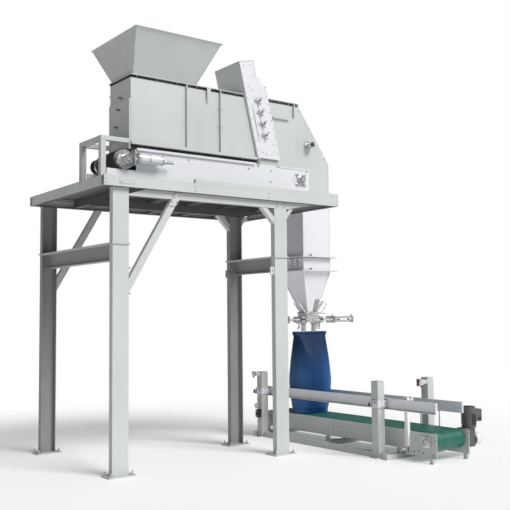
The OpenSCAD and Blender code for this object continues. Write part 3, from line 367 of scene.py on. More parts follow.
class Piece:
    """A fine mesh piece. Shapes are given in millimetres in the model's frame."""

    def __init__(self, name, *materials):
        self.name = name
        self.materials = materials
        self.mesh = bmesh.new()
        self.turn = None

    def _merge(self, part, material):
        for face in part.faces:
            face.material_index = material
        if self.turn is not None:
            part.transform(self.turn)
        scratch = bpy.data.meshes.new("scratch")
        part.to_mesh(scratch)
        part.free()
        self.mesh.from_mesh(scratch)
        bpy.data.meshes.remove(scratch)

    def box(self, low, high, bevel=2.0, material=0):
        """Bevelled block between two opposite corners, given in any order."""
        low, high = Vector(low), Vector(high)
        size = Vector([abs(side) for side in high - low])
        part = bmesh.new()
        place = Matrix.Translation((low + high) / 2) @ Matrix.Diagonal((*size, 1.0))
        bmesh.ops.create_cube(part, size=1.0, matrix=place)
        bevel = min(bevel, 0.3 * min(size))
        bmesh.ops.bevel(part, geom=part.edges[:], offset=bevel, segments=2, affect="EDGES", profile=0.5)
        self._merge(part, material)

    def lathe(self, at, axis, profile, segments=32, material=0, phase=0.0):
        """Turned shape about an axis; profile is a list of (radius, height) pairs, closed at both ends."""
        at, axis = Vector(at), Vector(axis).normalized()
        side = axis.orthogonal().normalized()
        if abs(axis.z) > 0.9:
            side = X.copy()
        other = axis.cross(side)
        part = bmesh.new()
        rings = []
        for radius, height in profile:
            ring = []
            for i in range(segments if radius > 0 else 1):
                angle = 2 * math.pi * i / segments + phase
                ring.append(part.verts.new(
                    at + axis * height + (side * math.cos(angle) + other * math.sin(angle)) * radius))
            rings.append(ring)
        for a, b in zip(rings, rings[1:]):
            for i in range(segments):
                j = (i + 1) % segments
                corners = [a[i % len(a)], a[j % len(a)], b[j % len(b)], b[i % len(b)]]
                corners = list(dict.fromkeys(corners))
                if len(corners) > 2:
                    part.faces.new(corners)
        for ring in (rings[0], rings[-1]):
            if len(ring) > 1 and profile[0] != profile[-1]:
                part.faces.new(ring)
        bmesh.ops.recalc_face_normals(part, faces=part.faces[:])
        self._merge(part, material)

    def rod(self, start, end, radius, chamfer=1.0, segments=32, material=0):
        start, end = Vector(start), Vector(end)
        length = (end - start).length
        chamfer = min(chamfer, radius / 3, length / 3)
        self.lathe(start, end - start, [(radius - chamfer, 0), (radius, chamfer), (radius, length - chamfer),
                                        (radius - chamfer, length)], segments, material)

    def ring(self, start, end, outer, inner, chamfer=1.0, segments=40, material=0):
        start, end = Vector(start), Vector(end)
        length = (end - start).length
        self.lathe(start, end - start, [
            (inner, 0), (outer - chamfer, 0), (outer, chamfer), (outer, length - chamfer),
            (outer - chamfer, length), (inner, length), (inner, 0)], segments, material)

    def collar(self, at, axis, length, outer, inner, chamfer=1.0, segments=40, material=0):
        """A ring given by its foot, axis and length."""
        at = Vector(at)
        self.ring(at, at + Vector(axis) * length, outer, inner, chamfer, segments, material)

    def disc(self, at, axis, radius, height, segments=20, material=0):
        self.lathe(at, axis, [(0, 0), (radius, 0), (radius, height), (0, height)], segments, material)

    def bolt(self, at, axis, radius=9.0, material=0, phase=0.3):
        """Hexagon head on a washer, its axis pointing away from the surface."""
        at, axis = Vector(at), Vector(axis).normalized()
        self.lathe(at, axis, [(0, 0), (1.35 * radius, 0), (1.35 * radius, 0.2 * radius), (0, 0.2 * radius)],
                   20, material)
        self.lathe(at, axis, [(0, 0.2 * radius), (radius, 0.2 * radius), (radius, 0.75 * radius),
                              (0.86 * radius, 0.95 * radius), (0, 0.95 * radius)], 6, material, phase)

    def bolts(self, xs, ys, zs, axis, radius=9.0, material=0):
        """Bolts at every combination of the given x, y and z."""
        for at in itertools.product(xs, ys, zs):
            self.bolt(at, axis, radius, material)

    def socket_screw(self, at, axis, radius=7.0, material=0, dark=1):
        at, axis = Vector(at), Vector(axis).normalized()
        self.lathe(at, axis, [(0, 0), (radius, 0), (radius, 0.8 * radius), (0.85 * radius, radius),
                              (0.5 * radius, radius), (0.5 * radius, 0.55 * radius)], 20, material)
        self.lathe(at, axis, [(0, 0.5 * radius), (0.5 * radius, 0.5 * radius), (0.5 * radius, 0.58 * radius),
                              (0, 0.58 * radius)], 6, dark)

    def plate(self, outline, axis, start, end, bevel=1.5, material=0):
        """Outline of pairs in the plane across the axis "X" or "Y", extruded from start to end."""
        def corner(u, v, w):
            return (w, u, v) if axis == "X" else (u, w, v)

        part = bmesh.new()
        lower = [part.verts.new(corner(u, v, start)) for u, v in outline]
        upper = [part.verts.new(corner(u, v, end)) for u, v in outline]
        part.faces.new(lower)
        part.faces.new(upper)
        for i in range(len(outline)):
            j = (i + 1) % len(outline)
            part.faces.new((lower[i], lower[j], upper[j], upper[i]))
        bmesh.ops.recalc_face_normals(part, faces=part.faces[:])
        bevel = min(bevel, 0.3 * abs(end - start))
        bmesh.ops.bevel(part, geom=part.edges[:], offset=bevel, segments=2, affect="EDGES", profile=0.5)
        self._merge(part, material)

    def path(self, points, radius, segments=12, material=0):
        """Round bar through points, with ball joints at the bends."""
        points = [Vector(point) for point in points]
        for a, b in zip(points, points[1:]):
            self.rod(a, b, radius, 0.4, segments, material)
        for point in points[1:-1]:
            part = bmesh.new()
            bmesh.ops.create_icosphere(part, subdivisions=2, radius=radius, matrix=Matrix.Translation(point))
            self._merge(part, material)

    def done(self, body="station", replaces=()):
        self.mesh.transform(Matrix.Scale(MM, 4))
        bmesh.ops.recalc_face_normals(self.mesh, faces=self.mesh.faces[:])
        for face in self.mesh.faces:
            face.smooth = True
        for edge in self.mesh.edges:
            edge.smooth = edge.is_manifold and edge.calc_face_angle(0.0) < SHARP
        data = bpy.data.meshes.new(self.name)
        self.mesh.to_mesh(data)
        self.mesh.free()
        for material in self.materials:
            data.materials.append(material)
        piece = bpy.data.objects.new(self.name, data)
        bpy.context.scene.collection.objects.link(piece)
        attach(piece, body)
        if replaces:
            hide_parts(*replaces)
        return piece


def spaced(start, end, count):
    """Evenly spaced numbers from start to end, both included."""
    return [start + (end - start) * i / (count - 1) for i in range(count)]


def around(at, axis, radius, count, first=0.0):
    """Evenly spaced points on a circle about an axis parallel to X, Y or Z; first is an angle in degrees."""
    side, other = (edge for edge in (X, Y, Z) if abs(edge.dot(Vector(axis))) < 0.5)
    for k in range(count):
        angle = math.radians(first + 360.0 * k / count)
        yield Vector(at) + (side * math.cos(angle) + other * math.sin(angle)) * radius


# ---------------------------------------------------------------- tower and deck

LEG_X = (-1940, 110)
LEG_W, LEG_D = 180, 70
FRONT = -170
BACK = (1710, 800)
SPLICE_Z = (2321, 2250)
SPLICE_T = 15
DECK_Z, DECK_H = 2884, 100
FRONT_UP = (0, -1, 0)
REAR_UP = (0, 1, 0)


def foot_anchors():
    """Washer, nut and threaded stud on each floor anchor."""
    piece = Piece("foot_anchors", STEEL)
    nut = [(0, 0), (13.5, 0), (13.5, 12), (11.5, 13.5), (0, 13.5)]
    for x0, back in zip(LEG_X, BACK):
        for y0 in (FRONT - 60, back - LEG_D - 60):
            for x in (x0 - 30, x0 + LEG_W + 30):
                for y in (y0 + 30, y0 + 160):
                    piece.disc((x, y, 15), Z, 17, 3, 28)
                    piece.lathe((x, y, 18), Z, nut, 6, 0, 0.2)
                    piece.rod((x, y, 20), (x, y, 54), 8, 1.5, 20)
                    for k in range(7):
                        piece.collar((x, y, 34 + 2.6 * k), Z, 1.3, 8.6, 7.5, 0.4, 20)
    piece.done()


def weld_beads():
    """Fillet welds where the legs meet their foot and splice plates."""
    piece = Piece("weld_beads", PAINT)
    for i in (0, 1):
        for y in (FRONT, BACK[i]):
            side = -1 if y == FRONT else 1
            web_y = y + side * 2.5
            for z in (15, SPLICE_Z[i]):
                piece.rod((LEG_X[i] + 2, web_y, z + 2), (LEG_X[i] + LEG_W - 2, web_y, z + 2), 4.5, 1, 10)
                for x in (LEG_X[i] - 2.5, LEG_X[i] + LEG_W + 2.5):
                    piece.rod((x, y, z + 2), (x, y - side * (LEG_D - 3), z + 2), 4.5, 1, 10)
    piece.done()


def tower_bolts():
    """Bolts of the splice plates, the braces' ends and the portal beams."""
    piece = Piece("tower_bolts", STEEL)
    for i in (0, 1):
        z = SPLICE_Z[i]
        for y0, y1 in ((FRONT + 14, FRONT + LEG_D - 14), (BACK[i] - LEG_D + 14, BACK[i] - 14)):
            xs, ys = (LEG_X[i] + 32, LEG_X[i] + LEG_W - 32), (y0 + 4, y1 - 4)
            piece.bolts(xs, ys, [z], Z, 10)
            piece.bolts(xs, ys, [z - SPLICE_T], -Z, 10)
        middle = LEG_X[i] + LEG_W / 2
        piece.bolts((middle - 34, middle + 34), spaced(FRONT + 150, BACK[i] - 150, 5), [z], Z, 8)
    piece.bolts([-1750], [FRONT], (2067, 2010, 1809), FRONT_UP, 8)
    for x, z in ((-1258, 2775), (-1230, 2830), (-1196, 2775), (-1170, 2840)):
        piece.bolt((x, FRONT - 8, z), FRONT_UP, 9)
    piece.bolts((LEG_X[1] + 40, LEG_X[1] + LEG_W - 40), [FRONT], (2825, 2862), FRONT_UP, 8)
    piece.done()


def deck_details():
    """Fascia plates, joint covers and bolts, and the kick plate's screws."""
    piece = Piece("deck_fascia_plates", PAINT, STEEL)
    piece.box((-1890, -224, 2912), (-1722, -219, 2950), 1.5)
    piece.box((-1878, -226, 2944), (-1734, -221, 2949), 1.0)
    piece.bolts((-1876, -1736), [-224], [2924], FRONT_UP, 6, 1)
    rows = (DECK_Z + 26, DECK_Z + DECK_H - 26)
    for y, up in ((-220, FRONT_UP), (1730, REAR_UP)):
        piece.bolts((-2040, -990, 0, 1030), [y], rows, up, 6.5, 1)
    piece.bolts([-2062], spaced(-120, 1630, 5), rows, -X, 6.5, 1)
    for x in spaced(-900, 980, 9):
        piece.lathe((x, -220, 3014), FRONT_UP, [(0, 0), (7, 0), (6, 2.5), (3, 4), (0, 4.2)], 16, 1)
    piece.done()


def guard_details():
    """Foot plates, caps and bolts of the tail guard."""
    piece = Piece("guard_feet", PAINT, STEEL)
    for y in (475, 968):
        piece.box((-1775, y - 14, 2992), (-1685, y + 74, 3000), 1.5)
        piece.bolts((-1768, -1692), (y - 7, y + 67), [3000], Z, 4.5, 1)
        piece.bolts([-1760], [y + 30], (3518, 3534), -X, 5, 1)
    for y in spaced(560, 950, 4):
        piece.lathe((-1760, y, 3525), -X, [(0, 0), (7, 0), (6, 3), (0, 4)], 16, 1)
    piece.done()


foot_anchors()
weld_beads()
tower_bolts()
deck_details()
guard_details()

# ---------------------------------------------------------------- bunker, hopper and gate

CASE_LEFT, CASE_TOP = -1400, 4285
CASE_FRONT, CASE_BACK = 475, 975
BOTH_FACES = ((CASE_FRONT, FRONT_UP), (CASE_BACK, REAR_UP))
TILT = math.radians(13.5)
GATE_FOOT = Vector((357, 0, 3462))
GATE_Y = 439
GATE_TURN = Matrix.Translation(GATE_FOOT) @ Matrix.Rotation(-TILT, 4, "Y")


def mirrored(y):
    """The same place on the other side of the casing's middle."""
    return CASE_FRONT + CASE_BACK - y


def gate_x(z):
    return GATE_FOOT.x - (z - GATE_FOOT.z) * math.tan(TILT)


def casing_details():
    """Black strips of painted shade under the top flange, head flange, bolts and small brackets of the bunker
    casing.
    """
    # Painted shade: black rubber strips under the top flange stand in for the shade beneath it.
    gaskets = Piece("casing_flange_shade_strips", RUBBER)
    for y0, y1 in ((CASE_FRONT - 4, CASE_FRONT - 0.5), (CASE_BACK + 0.5, CASE_BACK + 4)):
        gaskets.box((CASE_LEFT, y0, 4250), (-684, y1, 4276), 1)
        gaskets.box((-668, y0, 4250), (-212, y1, 4276), 1)
        gaskets.box((-196, y0, 4250), (gate_x(4260) - 16, y1, 4276), 1)
        gaskets.box((gate_x(4260) + 345, y0, 4250), (925, y1, 4276), 1)
        gaskets.box((941, y0, 4250), (1012, y1, 4272), 1)
    gaskets.box((CASE_LEFT - 5, CASE_FRONT, 4250), (CASE_LEFT - 0.5, CASE_BACK, 4276), 1)
    gaskets.done()
    flange = Piece("head_flange", PAINT)
    for y0, y1 in ((CASE_FRONT - 30, CASE_FRONT - 0.5), (CASE_BACK + 0.5, CASE_BACK + 30)):
        flange.box((gate_x(CASE_TOP) + 345, y0, 4277), (1012, y1, 4286), 1.5)
    flange.box((CASE_LEFT - 10, CASE_FRONT - 30, 4277), (CASE_LEFT - 0.5, CASE_BACK + 30, 4286), 1.5)
    flange.done()
    bolts = Piece("casing_bolts", STEEL, BLACK)
    for y in (460, 990):
        for x in (-1330, -1068, -799, -640, -535, -348, -160, 30, 560, 700, 850, 980):
            bolts.bolt((x, y, 4277), -Z, 8)
            bolts.rod((x, y, 4268), (x, y, 4258), 5, 1, 14)
    for y, up in BOTH_FACES:
        bolts.bolts((-235, -169), [y], (4046, 3834), up, 8)
        bolts.bolts((-707, -645), [y], (4046, 3834), up, 6)
        for k in range(9):
            bolts.bolt((1030 + k * 52, y, 4200 - k * 73.5), up, 6)
        bolts.bolts([1500], [y], spaced(3110, 3480, 5), up, 6)
    for y, up in ((CASE_FRONT - 30, FRONT_UP), (CASE_BACK + 30, REAR_UP)):
        for x in spaced(-1340, 230, 11):
            bolts.lathe((x, y, 3507), up, [(0, 0), (6.5, 0), (5.5, 2.5), (3, 4), (0, 4.2)], 14)
    bolts.done()
    bracket = Piece("end_panel_latches", STEEL, BLACK)
    for y, z in ((682, 4046), (721, 3915), (771, 3721)):
        bracket.box((CASE_LEFT - 14, y - 35, z - 15), (CASE_LEFT, y + 35, z + 15), 2)
        bracket.rod((CASE_LEFT - 14, y, z), (CASE_LEFT - 34, y, z), 9, 2, 20)
        bracket.rod((CASE_LEFT - 34, y - 35, z - 10), (CASE_LEFT - 34, y + 35, z + 16), 7, 1.5, 14, 1)
    bracket.bolts([CASE_LEFT - 18], (495, 950), spaced(3480, 4120, 5), -X, 7)
    bracket.rod((CASE_LEFT - 24, 640, 3560), (CASE_LEFT - 24, 700, 3560), 6, 1.5, 14, 1)
    for y in (640, 700):
        bracket.rod((CASE_LEFT - 18, y, 3560), (CASE_LEFT - 26, y, 3560), 6, 1, 14, 1)
    bracket.done()


def hopper_details():
    """Folded rim, corner bolts and base bolts of the inlet hopper."""
    rim = Piece("hopper_rim", PAINT)
    x0, x1, y0, y1, z = -1500, -363, 177, 1273, 4735
    for a, b in (((x0, y0), (x1, y0)), ((x1, y0), (x1, y1)), ((x1, y1), (x0, y1)), ((x0, y1), (x0, y0))):
        rim.rod((a[0], a[1], z - 5), (b[0], b[1], z - 5), 5, 1, 16)
    low, high = Vector((-1370, 475, 4290)), Vector((-1488, 175, 4735))
    right_low, right_high = Vector((-540, 475, 4290)), Vector((-375, 175, 4735))
    for a, b in ((low, high), (right_low, right_high)):
        for mirror in (False, True):
            p, q = a.copy(), b.copy()
            if mirror:
                p.y, q.y = mirrored(p.y), mirrored(q.y)
            rim.rod(p, q, 4, 1, 12)
    rim.done()
    bolts = Piece("hopper_bolts", STEEL)
    out = Vector((0, -445, -300)).normalized()
    for a, b, inward in ((low, high, 28), (right_low, right_high, -28)):
        for t in (0.2, 0.4, 0.6, 0.8):
            at = a.lerp(b, t) + Vector((inward, 0, 0))
            bolts.bolt(at, out, 6)
            bolts.bolt((at.x, mirrored(at.y), at.z), (0, -out.y, out.z), 6)
    bolts.bolts(spaced(-1340, -570, 7), (468, 982), [4295], Z, 6)
    bolts.bolts([-1377], spaced(520, 930, 4), [4295], Z, 6)
    bolts.done()


def gate_details():
    """Screws, seams and the rod end of the levelling gate's housing."""
    piece = Piece("gate_plate_screws", STEEL, BLACK)
    piece.turn = GATE_TURN
    for z in spaced(150, 800, 6):
        piece.socket_screw((18, GATE_Y, z), FRONT_UP, 6.5)
    for z in spaced(60, 900, 9):
        piece.socket_screw((317, GATE_Y, z), FRONT_UP, 6.5)
    for x, z in ((90, 110), (140, 75), (200, 130), (215, 60), (262, 92), (262, 190),
                 (240, 880), (120, 880), (60, 930), (60, 1200), (160, 1200), (160, 1060)):
        piece.socket_screw((x, GATE_Y, z), FRONT_UP, 6)
    piece.box((60, GATE_Y - 3, 250), (72, GATE_Y, 820), 1)
    piece.done()
    seam = Piece("gate_box_seams", PAINT)
    seam.turn = GATE_TURN
    seam.box((-3, GATE_Y - 2, 866), (5, GATE_Y + 12, 1252), 1.5)
    seam.box((212, GATE_Y - 2, 1036), (220, GATE_Y + 12, 1252), 1.5)
    seam.box((-3, GATE_Y - 3, 1244), (220, CASE_BACK + 3, 1253), 1.5)
    seam.done()
    rod = Piece("gate_rod_end", STEEL)
    rod.rod((372, 448, 3452), (356, 448, 3528), 11, 2, 24)
    rod.rod((374, 448, 3440), (371, 448, 3458), 17, 3, 24)
    rod.box((338, 440, 3500), (374, 456, 3524), 2)
    rod.bolt((663, 470, 3432), FRONT_UP, 8)
    rod.done()


def knob(index, z):
    """Cast three-armed knob with a black cap, standing off the gate plate."""
    piece = Piece(f"gate_knob_{index}_cast", STEEL, BLACK)
    piece.turn = GATE_TURN @ Matrix.Translation((168, GATE_Y, z))
    ball = [(0, 0), (9, 0), (13.5, 4), (13.5, 15), (9, 20), (0, 20)]
    piece.rod((0, 26, 0), (0, -30, 0), 7.9, 1.0, 24)
    piece.lathe((0, 0, 0), FRONT_UP, [(0, 1), (18, 1), (18, 10), (22, 18), (22, 34), (17, 40), (0, 40)], 32)
    piece.lathe((0, 0, 0), FRONT_UP, [(0, 40), (12, 40), (12, 43), (9, 45), (0, 45.5)], 24, 1)
    for k in range(3):
        angle = math.radians(30 + 120 * k)
        reach = Vector((math.cos(angle), 0, math.sin(angle)))
        for t, width in ((14, 13), (22, 11.5), (30, 10.5), (38, 11)):
            centre = reach * t + Vector((0, -27, 0))
            piece.lathe(centre - Vector((0, width * 0.7, 0)), REAR_UP, [
                (0, 0), (width * 0.7, 0), (width, width * 0.35), (width, width), (width * 0.7, width * 1.4),
                (0, width * 1.4)], 24)
        tip = reach * 44 + Vector((0, -27, 0))
        piece.lathe(tip - 10 * Y, REAR_UP, ball, 28)
        piece.disc(tip - 10.6 * Y, REAR_UP, 6, 1.2, 20, 1)
    piece.done(f"knob_{index}", replaces=(f"gate_knob_{index}",))


casing_details()
hopper_details()
gate_details()
for knob_index, knob_z in enumerate((310, 455, 600, 745), 1):
    knob(knob_index, knob_z)

# ---------------------------------------------------------------- head casing and feeder

HEAD_AT = Vector((1044, 0, 3304))
TAIL_AT = Vector((-1480, 0, 3304))
CAP_REACH = 60
COVER_OFFSET = 24


def sensor_details():
    """Star flange, cap and gland of the level sensor."""
    piece = Piece("level_sensor_flange", STEEL, BLACK)
    x, z = 1169, 3760
    for at in around((x, 469, z), FRONT_UP, 50, 6):
        piece.lathe(at, FRONT_UP, [(0, 0), (13, 0), (13, 6), (10, 9), (0, 9)], 20)
        piece.bolt((at.x, 461, at.z), FRONT_UP, 6)
    piece.collar((x, 474.5, z), FRONT_UP, 10.5, 56, 40, 3)
    piece.collar((x, 404, z), FRONT_UP, 28, 46, 33, 4)
    piece.lathe((x, 385, z), FRONT_UP, [(0, 0), (29, 0), (29, 4), (0, 5)], 32, 1)
    piece.rod((x + 34, 420, z - 10), (x + 58, 420, z - 18), 10, 2, 20, 1)
    piece.done()


def bearing_inserts():
    """Bolts, insert rings, grease nipples and shaft ends of the head bearings."""
    piece = Piece("head_bearing_inserts", STEEL, BLACK)
    for y, up in BOTH_FACES:
        side = up[1]
        for at in around((HEAD_AT.x, y + side * 14, HEAD_AT.z), up, 88, 4, 45):
            piece.lathe((at.x, y + side * 2, at.z), up, [(0, 0), (22, 0), (22, 9), (17, 13), (0, 13)], 24)
            piece.bolt(at, up, 10)
        face = Vector((HEAD_AT.x, y + side * 48, HEAD_AT.z))
        piece.collar(face - side * 4 * Y, up, 10, 48, 40, 2)
        piece.collar(face - side * 2 * Y, up, 4.5, 40, 32, 1, material=1)
        piece.collar(face - side * 2 * Y, up, 14, 33, 26, 2)
        piece.rod(face + Vector((30, -side * 20, 34)), face + Vector((42, -side * 14, 52)), 5, 1, 16)
    piece.done()


def shaft_end(name, body, at, up):
    """Centre-drilled end of a drum shaft."""
    piece = Piece(name, STEEL, BLACK)
    at, up = Vector(at), Vector(up)
    piece.lathe(at, up, [(0, 0), (23, 0), (22, 1.5), (7, 1.5), (3, 0.5), (0, 0.5)], 32)
    piece.lathe(at, up, [(0, 0.4), (5, 0.4), (5, 0.9), (0, 0.9)], 20, 1)
    piece.done(body)


def side_frame_details():
    """Bolts of the belt frame."""
    piece = Piece("side_frame_bolts", STEEL)
    for y, up in BOTH_FACES:
        for x, z in ((223, 3370), (571, 3381), (555, 3237), (-640, 3390), (-640, 3110), (820, 3110),
                     (1150, 3420), (1150, 3100), (-1290, 3400), (-900, 3110), (-200, 3110), (300, 3110)):
            piece.bolt((x, y, z), up, 10)
    for y, up in BOTH_FACES:
        piece.bolts((-1285, -1225, -315, -255, 685, 745), [y], [3030], up, 8)
    piece.done()


def tail_details():
    """Rings, cap and bolts of the tail bearings and the ribbed cover of the rear speed sensor."""
    piece = Piece("tail_bearing_rings", STEEL, BLACK)
    for mirror in (1, -1):
        def on_axis(y):
            return Vector((TAIL_AT.x, y if mirror > 0 else mirrored(y), TAIL_AT.z))
        up = (0, -mirror, 0)
        piece.collar(on_axis(434), up, 1.2, 103, 84, 0.5)
        for at in around(on_axis(434), up, 70, 8, 22.5):
            if at.x < TAIL_AT.x + CAP_REACH:
                piece.bolt(at, up, 7)
        piece.collar(on_axis(366), up, 8, 53, 42, 2)
        piece.collar(on_axis(366), up, 5, 42, 32, 1, material=1)
        piece.collar(on_axis(366), up, 12, 33, 26, 2)
        for z in (-34, 34):
            piece.socket_screw(on_axis(372) + Vector((36, 0, z)), up, 7)
    piece.bolts([-1411], (347, 1103), (3240, 3386), X, 8)
    piece.done("tail_carriage")
    cover = Piece("tail_sensor_cover", BLACK)
    cover_x = TAIL_AT.x - COVER_OFFSET
    for k in range(7):
        cover.collar((cover_x, 1022 + 12 * k, TAIL_AT.z), REAR_UP, 7, 88, 60, 2.5)
    cover.collar((cover_x, 1018, TAIL_AT.z), REAR_UP, 86, 80, 60, 3)
    cover.lathe((cover_x, 1104, TAIL_AT.z), REAR_UP, [(0, 0), (78, 0), (71, 8), (0, 10)], 40)
    cover.done("tail_carriage")


def takeup_details():
    """End caps and nuts of the take-up housings, and the rods' threaded ends."""
    piece = Piece("takeup_caps", STEEL, SHEET)
    nuts = Piece("takeup_nuts", STEEL)
    for y in (375, 1075):
        z = 3316
        for x in (-1368, -1084):
            piece.collar((x, y, z), X, 28, 57, 53, 1)
        piece.collar((-1240, y, z), X, 24, 56.5, 53, 1)
        for at in around((-1056, y, z), X, 43, 4, 45):
            piece.bolt(at, X, 6)
        side = 1 if y < mirrored(y) else -1
        piece.bolts((-1296, -1100), [455 if side > 0 else 995], (3272, 3368), (0, -side, 0), 6)
        for k in range(24):
            nuts.collar((-1044 + 5.2 * k, y, TAIL_AT.z), X, 2.4, 18.2, 16, 0.6, 24)
        nuts.lathe((-1048, y, TAIL_AT.z), X, [(17.2, 0), (31, 0), (31, 16), (28, 19), (17.2, 19)], 6, 0, 0.2)
        nuts.lathe((-1026, y, TAIL_AT.z), X, [(17.2, 0), (29, 0), (29, 11), (26, 14), (17.2, 14)], 6, 0, 0.5)
    piece.done()
    nuts.done("tail_carriage")


def feeder_motor():
    """Fins, fan cowl, terminal box lid, gland and lifting eye of the feeder's gearmotor."""
    piece = Piece("feeder_motor_fins", MOTOR, STEEL, BLACK)
    y, z = 1105, 3314
    for k in range(26):
        a = 2 * math.pi * k / 26
        if math.sin(a) > 0.75:
            continue
        piece.turn = Matrix.Translation((0, y, z)) @ Matrix.Rotation(-a, 4, "X")
        piece.box((700, 76, -2.2), (900, 93, 2.2), 1)
    piece.turn = None
    piece.collar((608, y, z), X, 82, 92, 78, 4)
    piece.lathe((604, y, z), -X, [(0, -4), (88, -4), (84, 2), (60, 3), (0, 3)], 40)
    for k in range(4):
        piece.collar((600.5, y, z), X, 3.5, 74 - 16 * k, 67 - 16 * k, 0.8, material=2)
    piece.collar((905, y, z), X, 33, 100, 78, 3)
    for at in around((905, y, z), X, 90, 6):
        piece.bolt(at, -X, 7, 1)
    piece.box((714, 1050, 3440), (854, 1160, 3452), 3)
    for x in (724, 844):
        for dy in (1060, 1150):
            piece.socket_screw((x, dy, 3452), Z, 5, 1, 2)
    piece.rod((745, 1155, 3405), (745, 1180, 3405), 12, 2, 20, 2)
    piece.collar((HEAD_AT.x, 1155, HEAD_AT.z), REAR_UP, 9, 62, 28, 3)
    for at in around((HEAD_AT.x, 1163, HEAD_AT.z), REAR_UP, 50, 6, 30):
        piece.bolt(at, REAR_UP, 6, 1)
    piece.box((944, 1030, 3412), (1144, 1150, 3420), 3)
    piece.bolts((955, 1133), (1040, 1140), [3420], Z, 6, 1)
    piece.box((1100, 983, 3180), (1140, 1024, 3240), 3)
    piece.box((1096, 984, 3120), (1144, 992, 3200), 2)
    piece.bolt((1120, 992, 3150), REAR_UP, 9, 1)
    piece.done()


sensor_details()
bearing_inserts()
shaft_end("head_shaft_end", "head_roll", (HEAD_AT.x, 415, HEAD_AT.z), FRONT_UP)
side_frame_details()
tail_details()
takeup_details()
feeder_motor()

# ---------------------------------------------------------------- duct, funnel and spout

OUT_X, OUT_Y = 1300, 660
ROD_Z = 1515


def duct_details():
    """Corner folds, flange bolts, gaskets and straps of the duct and the funnel."""
    seams = Piece("duct_corner_folds", SHEET)
    for x in (1075, 1525):
        for y in (475, 975):
            seams.rod((x, y, 2332), (x, y, 3048), 3.5, 1, 12)
            seams.rod((x, y, 2152), (x, y, 2313), 3.5, 1, 12)
            foot = Vector((OUT_X + (70 if x > OUT_X else -70), OUT_Y + (70 if y > 700 else -70), 1604))
            seams.rod(foot, (x, y, 2134), 5, 1, 14)
    for y in (472.5, 977.5):
        seams.box((1079, y - 2.5, 3034), (1521, y + 2.5, 3048), 1)
    seams.box((1070, 479, 3034), (1075, 971, 3048), 1)
    seams.done()
    bolts = Piece("duct_flange_bolts", STEEL, BLACK)
    for z, up in ((2329, Z), (2315, -Z), (2150, Z), (2136, -Z)):
        bolts.bolts((1040, 1560), spaced(440, 1010, 5), [z], up, 7)
        bolts.bolts(spaced(1130, 1470, 4), (440, 1010), [z], up, 7)
    for z in (2345, 2166):
        bolts.box((1170, 452, z - 13), (1200, 474.5, z + 12), 2)
        bolts.lathe((1185, 452, z), FRONT_UP, [(0, 0), (11, 0), (11, 5), (7, 7), (0, 7)], 20, 1)
    bolts.done()
    gaskets = Piece("duct_gaskets", RUBBER)
    for z in (2309, 2150.5):
        for y0, y1 in ((468, 474.6), (975.4, 982)):
            gaskets.box((1068, y0, z), (1532, y1, z + 5), 1)
        for x0, x1 in ((1068, 1074.6), (1525.4, 1532)):
            gaskets.box((x0, 475, z), (x1, 975, z + 5), 1)
    gaskets.done()
    straps = Piece("spool_straps", STEEL)
    for y in (600, 706, 850):
        straps.box((1068, y - 14, 2160), (1074.5, y + 14, 2305), 1.5)
        straps.bolts([1068], [y], (2180, 2285), -X, 7)
    for x in (1190, 1410):
        straps.box((x - 14, 975.5, 2160), (x + 14, 982, 2305), 1.5)
    straps.done()


def spout_details():
    """Clamp plates, side bar, a mid-grey plate of painted shade in the funnel's front recess, rod seals and
    dust hose collar at the spout.
    """
    plates = Piece("spout_plates", STEEL, BLACK)
    for s in (-1, 1):
        plates.box((1185, OUT_Y + s * 92 - 7, 1488), (1415, OUT_Y + s * 92 + 7, 1520), 2)
        plates.box((1196, OUT_Y + s * 88 - 3, 1530), (1404, OUT_Y + s * 88 + 3, 1592), 1.5)
        for x in spaced(1212, 1388, 5):
            plates.bolt((x, OUT_Y + s * 91, 1575), (0, s, 0), 6)
            plates.socket_screw((x, OUT_Y + s * 99, 1504), (0, s, 0), 6)
        for x in (1189, 1411):
            plates.collar((x - 6, OUT_Y + s * 60, ROD_Z), X, 12, 26, 15.3, 2)
    plates.box((1190, 560, 1594), (1410, 574, 1612), 2)
    plates.box((1190, 746, 1594), (1410, 760, 1612), 2)
    plates.done()
    bar = Piece("funnel_side_bar", SHEET)
    for y in (602, 700):
        bar.plate([(1090, 1728), (1102, 1735), (1228, 1596), (1216, 1588)], "Y", y, y + 16)
    bar.box((1150, 602, 1650), (1170, 716, 1664), 2)
    bar.done()
    # Painted shade: a mid-grey plate laid into the funnel's front recess stands in for the shade there.
    wear = Piece("funnel_recess_shade_plate", PAINTED_SHADE, SHEET)
    wear.turn = Matrix.Translation((OUT_X + 40, 588, 1602)) @ Matrix.Rotation(math.radians(12.0), 4, "X")
    wear.plate([(-30, 10), (36, 10), (60, 180), (-6, 180)], "Y", -7, -2.5)
    wear.done()
    hose = Piece("dust_stub_collar", STEEL, BLACK)
    tilt = math.radians(40)
    axis = Vector((math.sin(tilt), 0, math.cos(tilt)))
    foot = Vector((OUT_X + 150, OUT_Y - 20, 1600))
    hose.collar(foot + axis * 154, axis, 10.6, 45, 38.5, 2)
    hose.collar(foot + axis * 96, axis, 10, 44.5, 42.2, 1)
    hose.collar(foot + axis * 150, axis, 15, 38.2, 30, 2, material=1)
    hose.disc(foot + axis * 120, axis, 37.5, 3, 32, 1)
    hose.rod(foot + axis * 100 - 44 * Y, foot + axis * 100 - 54 * Y, 6, 1, 16)
    hose.done()


